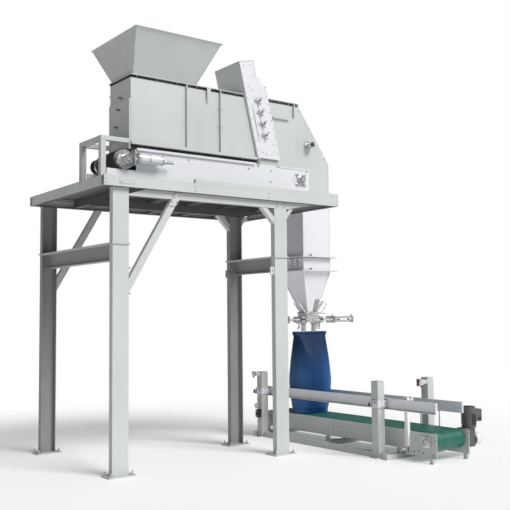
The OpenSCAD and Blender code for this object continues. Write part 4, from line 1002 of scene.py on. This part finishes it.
def spreader_details():
    """Bolts and hooks of the two finger carriages, and end nuts of the guide rods."""
    for name, body, s in (("left", "finger_left", -1), ("right", "finger_right", 1)):
        piece = Piece(f"finger_{name}_fittings", STEEL, BLACK)
        x0, x1 = sorted((OUT_X + s * 122, OUT_X + s * 182))
        mid = (x0 + x1) / 2
        for y, up in ((572, FRONT_UP), (748, REAR_UP)):
            for dx in (-18, 18):
                for z in (1492, 1542):
                    piece.socket_screw((mid + dx, y, z), up, 6)
            piece.box((x0 + 6, y - 2, 1508), (x1 - 6, y + 2, 1528), 1, 1)
        for y in (600, 720):
            for x in (x0 - 4, x1):
                piece.collar((x, y, ROD_Z), X, 4, 25, 15.4, 1, material=1)
        fx = OUT_X + s * 85
        piece.collar((fx, OUT_Y, 1462), -Z, 10, 36, 30.2, 2)
        piece.collar((fx, OUT_Y, 1378), -Z, 7, 32.5, 30.2, 1)
        for side in (-1, 1):
            hook = ((34, 42, 1461), (52, 48, 1420), (66, 50, 1386))
            piece.path([(fx + s * dx, OUT_Y + side * dy, z) for dx, dy, z in hook], 5)
        piece.done(body)
    ends = Piece("spreader_end_nuts", STEEL, BLACK)
    for y in (600, 720):
        for x, up in ((904, -X), (1696, X)):
            ends.lathe((x, y, ROD_Z), up, [(0, 0), (20, 0), (20, 9), (17, 12), (0, 12)], 6)
    ends.bolts([904], (582, 738), (1482, 1548), -X, 6)
    ends.box((886, 590, 1540), (904, 730, 1556), 2)
    ends.done()


def cylinder_details():
    """Tie rods, end caps, ports and elbows of the spreader's cylinder."""
    piece = Piece("cylinder_tie_rods", STEEL, BLACK, SHEET)
    x0, x1 = 1700, 2062
    for y in (OUT_Y - 33, OUT_Y + 33):
        for z in (ROD_Z - 33, ROD_Z + 33):
            piece.rod((x0 + 22, y, z), (x1 - 22, y, z), 4.2, 1, 14)
            piece.lathe((x1 - 0.5, y, z), X, [(0, -9), (7, -9), (7, -2), (0, -1)], 6)
    for x, up in ((x0 + 11, Z), (x1 - 11, Z)):
        piece.rod((x, OUT_Y - 6, 1556), (x, OUT_Y - 6, 1574), 8, 1.5, 18)
        piece.rod((x, OUT_Y - 6, 1574), (x, OUT_Y - 6, 1584), 7, 2, 18, 1)
    piece.box((1760, OUT_Y - 47, 1500), (1990, OUT_Y - 40, 1530), 2, 2)
    for x in (1785, 1960):
        piece.box((x - 14, OUT_Y - 54, 1504), (x + 14, OUT_Y - 46, 1526), 2, 1)
    piece.collar((1697, OUT_Y, ROD_Z), X, 7, 21, 10.5, 1)
    piece.done()


duct_details()
spout_details()
spreader_details()
cylinder_details()

# ---------------------------------------------------------------- take-away conveyor

DRIVE_Y, TAIL_Y = -1560, 1180
DRUM_Z = 217.5
RAIL_Y = {"near": (-1770, 1215), "far": (-1560, 1215)}
RAIL_MID = {"near": 588, "far": 538}
POST_TOP = 835
POST_Y = (-1040, 1085)


def conveyor_side(s):
    """Screws, slots, bearing housings and end rings on one side; s is -1 for the near side."""
    name = "near" if s < 0 else "far"
    face = OUT_X + s * 255
    wide = OUT_X + s * 263
    up = Vector((s, 0, 0))
    piece = Piece(f"conveyor_{name}_fittings", STEEL, BLACK, PAINT)
    for y in spaced(-560, 860, 12):
        for z in (DRUM_Z + 70, DRUM_Z - 60):
            piece.lathe((face, y, z), up, [(0, 0), (6, 0), (5, 2.5), (0, 3)], 16)
    for y in spaced(-400, 0, 6):
        for z in (DRUM_Z - 30, DRUM_Z + 27):
            piece.collar((face, y, z), up, 1.6, 10, 7, 0.5, 20)
            piece.disc((face, y, z), up, 7.2, 0.8, 20, 1)
    piece.bolts([wide], (DRIVE_Y + 262, TAIL_Y - 178), (DRUM_Z - 70, DRUM_Z + 65), up, 8)
    for y in (DRIVE_Y, TAIL_Y):
        out = OUT_X + s * 295
        piece.collar((wide + s * 12, y, DRUM_Z), up, 10, 60, 42, 3)
        piece.collar((out - s * 4, y, DRUM_Z), up, 8, 40, 31, 1.5)
        piece.collar((out - s * 4, y, DRUM_Z), up, 5.5, 31, 25, 0.5, material=1)
        piece.collar((out - s * 4, y, DRUM_Z), up, 11, 26, 20.8, 1.5)
        piece.bolts([wide + s * 12], (y - 46, y + 46), (DRUM_Z - 46, DRUM_Z + 46), up, 7)
        piece.rod((out - s * 14, y - 28, DRUM_Z + 30), (out - s * 14, y - 36, DRUM_Z + 44), 4.5, 1, 14)
    for y in (DRIVE_Y - 118, DRIVE_Y + 150):
        piece.disc((wide, y, DRUM_Z + 27), up, 7, 0.8, 20, 1)
    for dy, z in ((50, 100), (110, 112), (172, 100), (-90, 92)):
        y = DRIVE_Y + dy
        piece.collar((wide, y, z), up, 1.6, 13, 9, 0.5, 24)
        piece.disc((wide, y, z), up, 9.2, 0.8, 20, 1)
    piece.box((wide, DRIVE_Y + 258, 84), (wide + s * 5, DRIVE_Y + 266, 312), 1.5, 1)
    piece.box((wide, TAIL_Y + 46, DRUM_Z - 30), (wide + s * 28, TAIL_Y + 56, DRUM_Z + 30), 1.5)
    tension = wide + s * 16
    piece.rod((tension, TAIL_Y + 30, DRUM_Z + 52), (tension, TAIL_Y + 76, DRUM_Z + 52), 7, 1, 18)
    piece.lathe((tension, TAIL_Y + 58, DRUM_Z + 52), Y, [(6.9, 0), (13, 0), (13, 9), (6.9, 9)], 6)
    for y in (DRIVE_Y - 98, DRIVE_Y - 72):
        piece.rod((OUT_X + s * 272, y, 2), (OUT_X + s * 272, y, 12), 20 if y > DRIVE_Y - 80 else 8, 2, 24, 1)
    piece.done()


def drum_ends():
    """Dished end discs and lagging edges of the drums, seen past the belt."""
    for name, y in (("discharge", DRIVE_Y), ("return", TAIL_Y)):
        piece = Piece(f"{name}_drum_discs", STEEL, BLACK)
        for s in (-1, 1):
            at, up = Vector((OUT_X + s * 228, y, DRUM_Z)), s * X
            piece.collar(at, up, 5, 99, 84, 2, 64)
            piece.collar(at, up, 2.5, 84, 42, 1, 64, material=1)
            piece.collar(at, up, 8, 42, 20.5, 2, 40)
            for place in around(at + 4 * up, up, 33, 6):
                piece.bolt(place, up, 5)
        piece.done(f"{name}_roll")
    shaft = Piece("discharge_shaft_end", STEEL, BLACK)
    shaft.lathe((OUT_X - 294, DRIVE_Y, DRUM_Z), -X, [(0, 0), (19, 0), (18, 2), (6, 2), (3, 0.5), (0, 0.5)], 28)
    for at in around((OUT_X - 295.5, DRIVE_Y, DRUM_Z), X, 12, 3, 30):
        shaft.socket_screw(at, -X, 3)
    shaft.done("discharge_roll")


def post_details():
    """Caps, foot bolts and gussets of the guide posts, and the boxes on the near rear post."""
    piece = Piece("guide_post_fittings", PAINT, STEEL, BLACK)
    for s in (-1, 1):
        for y in POST_Y:
            x0, x1 = sorted((OUT_X + s * 355, OUT_X + s * 455))
            piece.box((x0 + 2, y + 2, POST_TOP - 3), (x1 - 2, y + 98, POST_TOP + 4), 3)
            piece.bolts([OUT_X + s * 476], (y + 16, y + 84), [10], Z, 8, 1)
            outer = (x0 - 0.2, x0 - 7) if s < 0 else (x1 - 0.2, x1 + 7)
            piece.plate([(y + 30, 12), (y + 70, 12), (y + 50, 100)], "X", *outer, 1.5)
            piece.bolts([OUT_X + s * 355], [y + 50], (110, 150), (-s, 0, 0), 7, 1)
    piece.done()
    boxes = Piece("near_back_post_box", PAINT, STEEL, BLACK)
    back = POST_Y[1]
    boxes.box((770, back + 20, 793), (844, back + 80, 833), 3)
    boxes.box((740, back + 24, 790), (770, back + 76, 846), 3, 1)
    boxes.rod((751, back + 50, 790), (751, back + 50, 766), 9, 2, 20, 2)
    boxes.rod((844, back + 50, 400), (806, back + 50, 400), 12, 2, 20, 1)
    boxes.lathe((806, back + 50, 400), -X, [(0, 0), (30, 0), (34, 5), (34, 18), (28, 24), (0, 25)], 7, 1)
    boxes.box((800, back + 16, 250), (844, back + 84, 350), 4, 2)
    boxes.bolts([800], [back + 50], (270, 330), -X, 7, 1)
    boxes.done()


def rail_details():
    """Rolled ends, clamp knobs and screws of the guide rails."""
    for name, s in (("near", -1), ("far", 1)):
        y0, y1 = RAIL_Y[name]
        piece = Piece(f"{name}_rail_fittings", SHEET, STEEL, BLACK)
        inner = OUT_X + s * 320
        outer = OUT_X + s * 350
        low, high = sorted((inner, outer))
        mid = RAIL_MID[name]
        for z in (mid - 56.5, mid + 56.5):
            piece.rod((outer, y0 + 4, z), (outer, y1 - 4, z), 3.4, 1, 12)
        piece.box((low + 3, y0 + 1, mid - 55), (high - 1, y0 + 6, mid + 55), 1.5)
        for y in (y0 + 40, y0 + 80, -700, -250, 200, 650):
            piece.lathe((inner + s * 0.5, y, mid), (-s, 0, 0), [(0, 0), (8, 0), (7, 2.5), (0, 3.2)], 18, 1)
        for y in POST_Y:
            at = OUT_X + s * 467.5
            nose = [(0, 0), (19, 0), (19, 5), (14, 10), (10, 14), (0, 14)]
            piece.lathe((at, y + 50, mid), (s, 0, 0), nose, 24, 1)
            knob_profile = [(0, 0), (22, 0), (29, 4), (29, 20), (22, 27), (0, 28)]
            piece.lathe((at + s * 44, y + 50, mid), (s, 0, 0), knob_profile, 7, 2)
            for dy, up in ((-12.5, FRONT_UP), (112.5, REAR_UP)):
                piece.bolts([OUT_X + s * 405], [y + dy], (mid - 28, mid + 28), up, 6, 1)
        for y in (-940, -1220) if s > 0 else ():
            piece.rod((outer - s * 12, y, 270), (outer - s * 12, y, mid - 57), 7, 1, 18, 1)
            piece.collar((outer - s * 12, y, mid - 70), Z, 12, 12, 7, 1, 24, 1)
        piece.done(f"{name}_rail")


def belt_details():
    """Lacing of the conveyor belt on its lower strand."""
    lacing = Piece("conveyor_belt_lacing", STEEL)
    for x in spaced(OUT_X - 214, OUT_X + 214, 18):
        lacing.box((x - 8, 388, 110.5), (x + 8, 424, 113.5), 1)
    lacing.done()


def conveyor_motor():
    """Fins, fan cowl, terminal box, gland, hub and flange of the conveyor's gearmotor."""
    piece = Piece("conveyor_motor_fins", MOTOR, STEEL, BLACK, SHEET)
    cx, low, radius = 1731, DRUM_Z + 100, 74
    for k in range(30):
        a = 2 * math.pi * k / 30
        if math.cos(a) < -0.5 or (abs(math.sin(a)) < 0.45 and math.cos(a) > 0):
            continue
        piece.turn = Matrix.Translation((cx, DRIVE_Y, 0)) @ Matrix.Rotation(a, 4, "Z")
        piece.box((radius - 3, -1.8, low + 30), (radius + 9, 1.8, low + 148), 0.8)
    piece.turn = None
    piece.collar((cx, DRIVE_Y, low), Z, 20, radius + 6, radius - 2, 3, 48)
    piece.collar((cx, DRIVE_Y, low + 156), Z, 66, radius + 1.5, radius - 2, 1.5, 48)
    piece.lathe((cx, DRIVE_Y, low + 219), Z, [(0, 0), (radius + 0.8, 0), (radius - 5, 8), (0, 9)], 48)
    for k in range(5):
        piece.collar((cx, DRIVE_Y, low + 227), Z, 3.5, 66 - 12 * k, 60 - 12 * k, 0.8, material=2)
    for at in around((cx, DRIVE_Y, low + 20), Z, 76, 4, 45):
        piece.bolt(at, Z, 5, 1)
    box_x = cx + radius + 85
    piece.box((box_x - 2, DRIVE_Y - 48, DRUM_Z + 157), (box_x + 8, DRIVE_Y + 48, DRUM_Z + 293), 2.5)
    piece.box((box_x - 62, DRIVE_Y - 48, DRUM_Z + 218), (box_x - 2, DRIVE_Y + 48, DRUM_Z + 226), 2)
    for y in (-38, 38):
        for z in (170, 280):
            piece.socket_screw((box_x + 8, DRIVE_Y + y, DRUM_Z + z), X, 4.5, 1, 2)
    piece.rod((box_x - 30, DRIVE_Y - 42, DRUM_Z + 190), (box_x - 30, DRIVE_Y - 66, DRUM_Z + 190), 11, 2, 20, 2)
    hub = Vector((1760, DRIVE_Y, DRUM_Z - 35))
    piece.collar(hub, X, 14, 74, 60, 3, 48)
    piece.collar(hub + 34 * X, X, 72, 66, 60, 3, 48, 3)
    piece.lathe(hub + 105 * X, X, [(0, 0), (65, 0), (60, 8), (30, 10), (0, 10)], 48, 3)
    for k in range(3):
        piece.collar(hub + 114 * X, X, 2.5, 50 - 14 * k, 45 - 14 * k, 0.8, material=2)
    for at in around(hub + 14 * X, X, 67, 6, 30):
        piece.bolt(at, X, 4.5, 1)
    for k in range(7):
        piece.box((1606, DRIVE_Y - 66, DRUM_Z - 92 + 28 * k), (1752, DRIVE_Y + 66, DRUM_Z - 85 + 28 * k), 2)
    piece.bolts((1612, 1746), [DRIVE_Y - 62], (DRUM_Z - 99, DRUM_Z + 92), FRONT_UP, 5, 1)
    piece.done()


def eye_details():
    """Head, lens and clamps of the photo-electric sensor, and the second head on the far post."""
    piece = Piece("photo_eye_head", WHITE, BLACK, LENS, STEEL)
    x, top = 1037, 668
    piece.box((x - 36, -1330, top - 4), (x + 2, -1285, top + 5), 2.5)
    piece.box((x + 38, -1328, top - 2), (x + 66, -1288, top + 8), 2.5)
    piece.lathe((x + 63, -1308, top - 20), X, [(0, 0), (13, 0), (13, 3), (11, 5), (0, 5)], 24, 1)
    piece.lathe((x + 66.5, -1308, top - 20), X, [(0, 0), (9, 0), (7, 2.5), (0, 4)], 24, 2)
    piece.bolts([x - 38], [-1308], (185, 235, 290), -X, 6, 3)
    piece.done()
    head = Piece("post_sensor_head", PAINT, STEEL, LENS, BLACK)
    y = POST_Y[0]
    head.box((1588, y - 8, 770), (1660, y - 0.2, 816), 2)
    head.plate([(1508, 748), (1592, 768), (1592, 816), (1508, 830)], "Y", y - 22, y + 12, 3)
    head.box((1488, y - 30, 746), (1510, y + 20, 832), 3, 1)
    head.box((1484, y - 22, 758), (1489, y + 12, 820), 2, 2)
    head.rod((1540, y - 5, 756), (1540, y - 5, 730), 8, 2, 18, 3)
    head.bolts([1640], [y - 8], (781, 805), FRONT_UP, 6, 1)
    head.done()


conveyor_side(-1)
conveyor_side(1)
drum_ends()
post_details()
rail_details()
belt_details()
conveyor_motor()
eye_details()

# ---------------------------------------------------------------- the filled bag

BAG_LOW, BAG_TOP = 0.3225, 1.362
BAG_VOXEL = 0.0095
CLOTH_FRAMES = 16
BAG_X = OUT_X + 14
RELAX_STEPS = 90
LARGEST_STEP = 0.016


def points_of(mesh):
    values = np.empty(len(mesh.vertices) * 3)
    mesh.vertices.foreach_get("co", values)
    return values.reshape(-1, 3)


def evaluated_mesh(source):
    graph = bpy.context.evaluated_depsgraph_get()
    return bpy.data.meshes.new_from_object(source.evaluated_get(graph))


def cloth_bag():
    """The woven bag: a remeshed copy of its solid, blown out as cloth, creased and left open at its mouth."""
    source = NODES["filled_bag"]
    bag = bpy.data.objects.new("woven_bag_cloth", source.data.copy())
    bpy.context.scene.collection.objects.link(bag)
    remesh = bag.modifiers.new("remesh", "REMESH")
    remesh.mode = "VOXEL"
    remesh.voxel_size = BAG_VOXEL
    bag.data = evaluated_mesh(bag)
    bag.modifiers.clear()
    solid = points_of(bag.data)
    centre = np.array([BAG_X * MM, OUT_Y * MM, 0.0])
    shrink = np.array([0.972, 0.955, 1.0])
    middle = np.clip((solid[:, 2] - BAG_LOW) / 0.05, 0, 1) * np.clip((BAG_TOP - solid[:, 2]) / 0.05, 0, 1)
    scale = 1.0 + (shrink - 1.0) * middle[:, None]
    start = centre + (solid - centre) * scale
    bag.data.vertices.foreach_set("co", start.ravel())
    bag.data.update()
    held = bag.vertex_groups.new(name="held")
    ends = (solid[:, 2] < BAG_LOW + 0.012) | (solid[:, 2] > BAG_TOP - 0.022)
    held.add([int(i) for i in np.where(ends)[0]], 1.0, "REPLACE")
    cloth = bag.modifiers.new("cloth", "CLOTH")
    settings = cloth.settings
    settings.use_pressure = True
    settings.uniform_pressure_force = 4.0
    settings.mass = 0.3
    settings.tension_stiffness = 25.0
    settings.compression_stiffness = 25.0
    settings.bending_stiffness = 0.8
    settings.shrink_min = -0.035
    settings.vertex_group_mass = "held"
    settings.effector_weights.gravity = 0.0
    settings.quality = 6
    scene = bpy.context.scene
    scene.frame_start, scene.frame_end = 1, CLOTH_FRAMES
    cloth.point_cache.frame_start, cloth.point_cache.frame_end = 1, CLOTH_FRAMES
    for number in range(1, CLOTH_FRAMES + 1):
        scene.frame_set(number)
    blown = evaluated_mesh(bag)
    bag.modifiers.clear()
    scene.frame_set(1)
    step = points_of(blown) - solid
    length = np.linalg.norm(step, axis=1)
    step *= np.minimum(1.0, LARGEST_STEP / np.maximum(length, 1e-9))[:, None]
    bag.data = blown
    shape_folds(bag, relaxed(blown, solid + step, solid), solid)
    open_mouth(bag)
    smooth = bag.modifiers.new("subdivision", "SUBSURF")
    smooth.levels = smooth.render_levels = 1
    bag.data = evaluated_mesh(bag)
    bag.modifiers.clear()
    return bag


def relaxed(mesh, points, solid):
    """Evens out the facets of the solid: each free point moves towards the middle of its neighbours."""
    ends = np.empty(len(mesh.edges) * 2, dtype=np.int64)
    mesh.edges.foreach_get("vertices", ends)
    first, second = ends[0::2], ends[1::2]
    count = np.bincount(ends, minlength=len(points))[:, None]
    height = solid[:, 2]
    free = np.clip((height - BAG_LOW - 0.02) / 0.08, 0, 1) * np.clip((BAG_TOP - 0.03 - height) / 0.08, 0, 1)
    for _ in range(RELAX_STEPS):
        total = np.zeros_like(points)
        for axis in range(3):
            total[:, axis] = (np.bincount(first, points[second, axis], len(points))
                              + np.bincount(second, points[first, axis], len(points)))
        points += 0.6 * free[:, None] * (total / count - points)
    return points


def shape_folds(bag, points, solid):
    """Long folds that run down from the clamped mouth, and slack rolls near the foot."""
    height = (solid[:, 2] - BAG_LOW) / (BAG_TOP - BAG_LOW)
    across = solid[:, 0] - BAG_X * MM
    depth = solid[:, 1] - OUT_Y * MM
    side = np.sign(depth)
    top = np.clip((height - 0.55) / 0.4, 0, 1) ** 1.5 * np.clip((1.0 - height) / 0.06, 0, 1)
    folds = (np.sin(across * 46.0 + 1.3 * side) + 0.6 * np.sin(across * 91.0 + 2.0 + side)) * 0.0022 * top
    tilt = np.clip(1.0 - np.abs(across) / 0.29, 0, 1)
    foot = np.exp(-((height - 0.07) / 0.035) ** 2) - 0.7 * np.exp(-((height - 0.145) / 0.03) ** 2)
    rolls = foot * 0.004 * (1.0 + 0.5 * np.sin(across * 21.0))
    slack = 0.0035 * np.sin(height * 19.0 + across * 9.0 + 2.0 * side) * np.sin(across * 13.0 - height * 7.0)
    slack *= np.clip(height / 0.2, 0, 1) * np.clip((1 - height) / 0.25, 0, 1)
    points[:, 1] += side * (folds * tilt + rolls + slack * tilt)
    bag.data.vertices.foreach_set("co", points.ravel())
    bag.data.update()


def open_mouth(bag):
    """Cuts the flat top away and gives the edge an inner wall."""
    mesh = bmesh.new()
    mesh.from_mesh(bag.data)
    mesh.normal_update()
    lid = [face for face in mesh.faces if face.normal.z > 0.8 and face.calc_center_median().z > BAG_TOP - 0.012]
    bmesh.ops.delete(mesh, geom=lid, context="FACES")
    for face in mesh.faces:
        face.smooth = True
    mesh.to_mesh(bag.data)
    mesh.free()
    wall = bag.modifiers.new("wall", "SOLIDIFY")
    wall.thickness = 0.0016
    wall.offset = -1.0
    bag.data = evaluated_mesh(bag)
    bag.modifiers.clear()


bag_piece = cloth_bag()
bag_piece.data.materials.clear()
bag_piece.data.materials.append(MATERIALS["woven_bag"])
for polygon in bag_piece.data.polygons:
    polygon.use_smooth = True
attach(bag_piece, "station")
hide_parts("filled_bag")


STITCHES = 120
STITCH_OUT = 4.0


def bag_trim():
    """Folded hem round the mouth and its two rows of stitches."""
    hem = Piece("bag_hem", MATERIALS["woven_bag"])
    steps = 96
    half_x, half_y, corner = 273.5, 31.0, 31.0

    def mouth_point(t, grow=0.0):
        straight = 2 * (half_x - corner)
        around = math.pi * corner
        total = 2 * (straight + around)
        d = (t % 1.0) * total
        if d < straight:
            return Vector((-half_x + corner + d, -half_y - grow, 0))
        d -= straight
        if d < around:
            a = -math.pi / 2 + d / corner
            return Vector((half_x - corner + (corner + grow) * math.cos(a), (corner + grow) * math.sin(a), 0))
        d -= around
        if d < straight:
            return Vector((half_x - corner - d, half_y + grow, 0))
        d -= straight
        a = math.pi / 2 + d / corner
        return Vector((-half_x + corner + (corner + grow) * math.cos(a), (corner + grow) * math.sin(a), 0))

    base = Vector((BAG_X, OUT_Y, 0))
    part = bmesh.new()
    rise = (-44, -42, -22, -2, 0.5, -1.5, -28)
    bulge = (1.0, 3.2, 3.6, 3.2, 1.6, 0.2, 0.0)
    rings = []
    for grow, dz in zip(bulge, rise):
        level = base + (BAG_TOP / MM + dz) * Z
        rings.append([part.verts.new(level + mouth_point(i / steps, grow)) for i in range(steps)])
    for a, b in zip(rings, rings[1:]):
        for i in range(steps):
            j = (i + 1) % steps
            part.faces.new((a[i], a[j], b[j], b[i]))
    hem._merge(part, 0)
    hem.done()
    stitches = Piece("bag_stitches", THREAD)
    for drop in (36, 10):
        level = base + (BAG_TOP / MM - drop) * Z
        for i in range(STITCHES):
            a = level + mouth_point(i / STITCHES, STITCH_OUT)
            b = level + mouth_point((i + 0.6) / STITCHES, STITCH_OUT)
            stitches.rod(a, b, 0.9, 0.3, 8)
    stitches.done()


bag_trim()

# ---------------------------------------------------------------- floor, backdrop and light

WHITE_LIGHT = (1.0, 1.0, 1.0, 1.0)
AMBIENT = 0.17
FLOOR_GLOW = 0.22
KEY_POWER = 3.1
KEY_SOFTNESS = math.radians(32.0)
KEY_DIRECTION = Vector((-0.16, 0.72, -0.68))
SIDE_POWER = 120.0


def make_floor():
    """Pale floor that fades to the backdrop's white away from the object."""
    half = 40.0
    mesh = bpy.data.meshes.new("floor")
    corners = [(-half, -half, 0), (half, -half, 0), (half, half, 0), (-half, half, 0)]
    mesh.from_pydata(corners, [], [(0, 1, 2, 3)])
    n = Nodes("floor")
    shade = n.mix(n.noise(0.8, 3.0), rgba((0.80, 0.80, 0.80)), rgba((0.83, 0.83, 0.83)))
    reach = n.add("ShaderNodeVectorMath", operation="LENGTH")
    n.put(reach.inputs[0], n.place)
    fade = n.add("ShaderNodeMapRange", {"Value": reach.outputs["Value"], "From Min": 2.6, "From Max": 7.0,
                                        "To Min": 0.0, "To Max": 1.0}, interpolation_type="SMOOTHSTEP")
    n.finish(shade, n.span(n.noise(6.0), 0.6, 0.75), n.bump(n.noise(60.0), 0.05, 0.001),
             Emission_Color=WHITE_LIGHT, Emission_Strength=FLOOR_GLOW)
    white = n.add("ShaderNodeEmission", {"Color": WHITE_LIGHT, "Strength": 1.0})
    blend = n.add("ShaderNodeMixShader")
    n.put(blend.inputs[0], fade.outputs["Result"])
    n.put(blend.inputs[1], n.shader.outputs["BSDF"])
    n.put(blend.inputs[2], white.outputs["Emission"])
    n.put(n.tree.nodes["Material Output"].inputs["Surface"], blend.outputs["Shader"])
    mesh.materials.append(n.material)
    floor = bpy.data.objects.new("floor", mesh)
    bpy.context.scene.collection.objects.link(floor)


def place_light(data, at, direction):
    light = bpy.data.objects.new(data.name, data)
    bpy.context.scene.collection.objects.link(light)
    aim = direction.to_track_quat("-Z", "Y").to_matrix().to_4x4()
    light.matrix_world = Matrix.Translation(at) @ aim


def make_light():
    """Dim even surroundings that the camera sees as white, a broad front light and a weak side light."""
    world = bpy.data.worlds.new("world")
    bpy.context.scene.world = world
    world.use_nodes = True
    tree = world.node_tree
    ambient = tree.nodes["Background"]
    ambient.inputs["Color"].default_value = WHITE_LIGHT
    ambient.inputs["Strength"].default_value = AMBIENT
    backdrop = tree.nodes.new("ShaderNodeBackground")
    backdrop.inputs["Color"].default_value = WHITE_LIGHT
    backdrop.inputs["Strength"].default_value = 1.0
    rays = tree.nodes.new("ShaderNodeLightPath")
    blend = tree.nodes.new("ShaderNodeMixShader")
    tree.links.new(rays.outputs["Is Camera Ray"], blend.inputs[0])
    tree.links.new(ambient.outputs[0], blend.inputs[1])
    tree.links.new(backdrop.outputs[0], blend.inputs[2])
    tree.links.new(blend.outputs[0], tree.nodes["World Output"].inputs["Surface"])
    key = bpy.data.lights.new("key", "SUN")
    key.energy = KEY_POWER
    key.angle = KEY_SOFTNESS
    place_light(key, Vector(), KEY_DIRECTION)
    side = bpy.data.lights.new("side", "AREA")
    side.shape = "RECTANGLE"
    side.size = side.size_y = 4.0
    side.energy = SIDE_POWER
    place_light(side, Vector((9.0, -4.0, 5.0)), Vector((-8.5, 4.5, -3.0)))


make_floor()
make_light()
bpy.context.scene.view_settings.view_transform = "Standard"
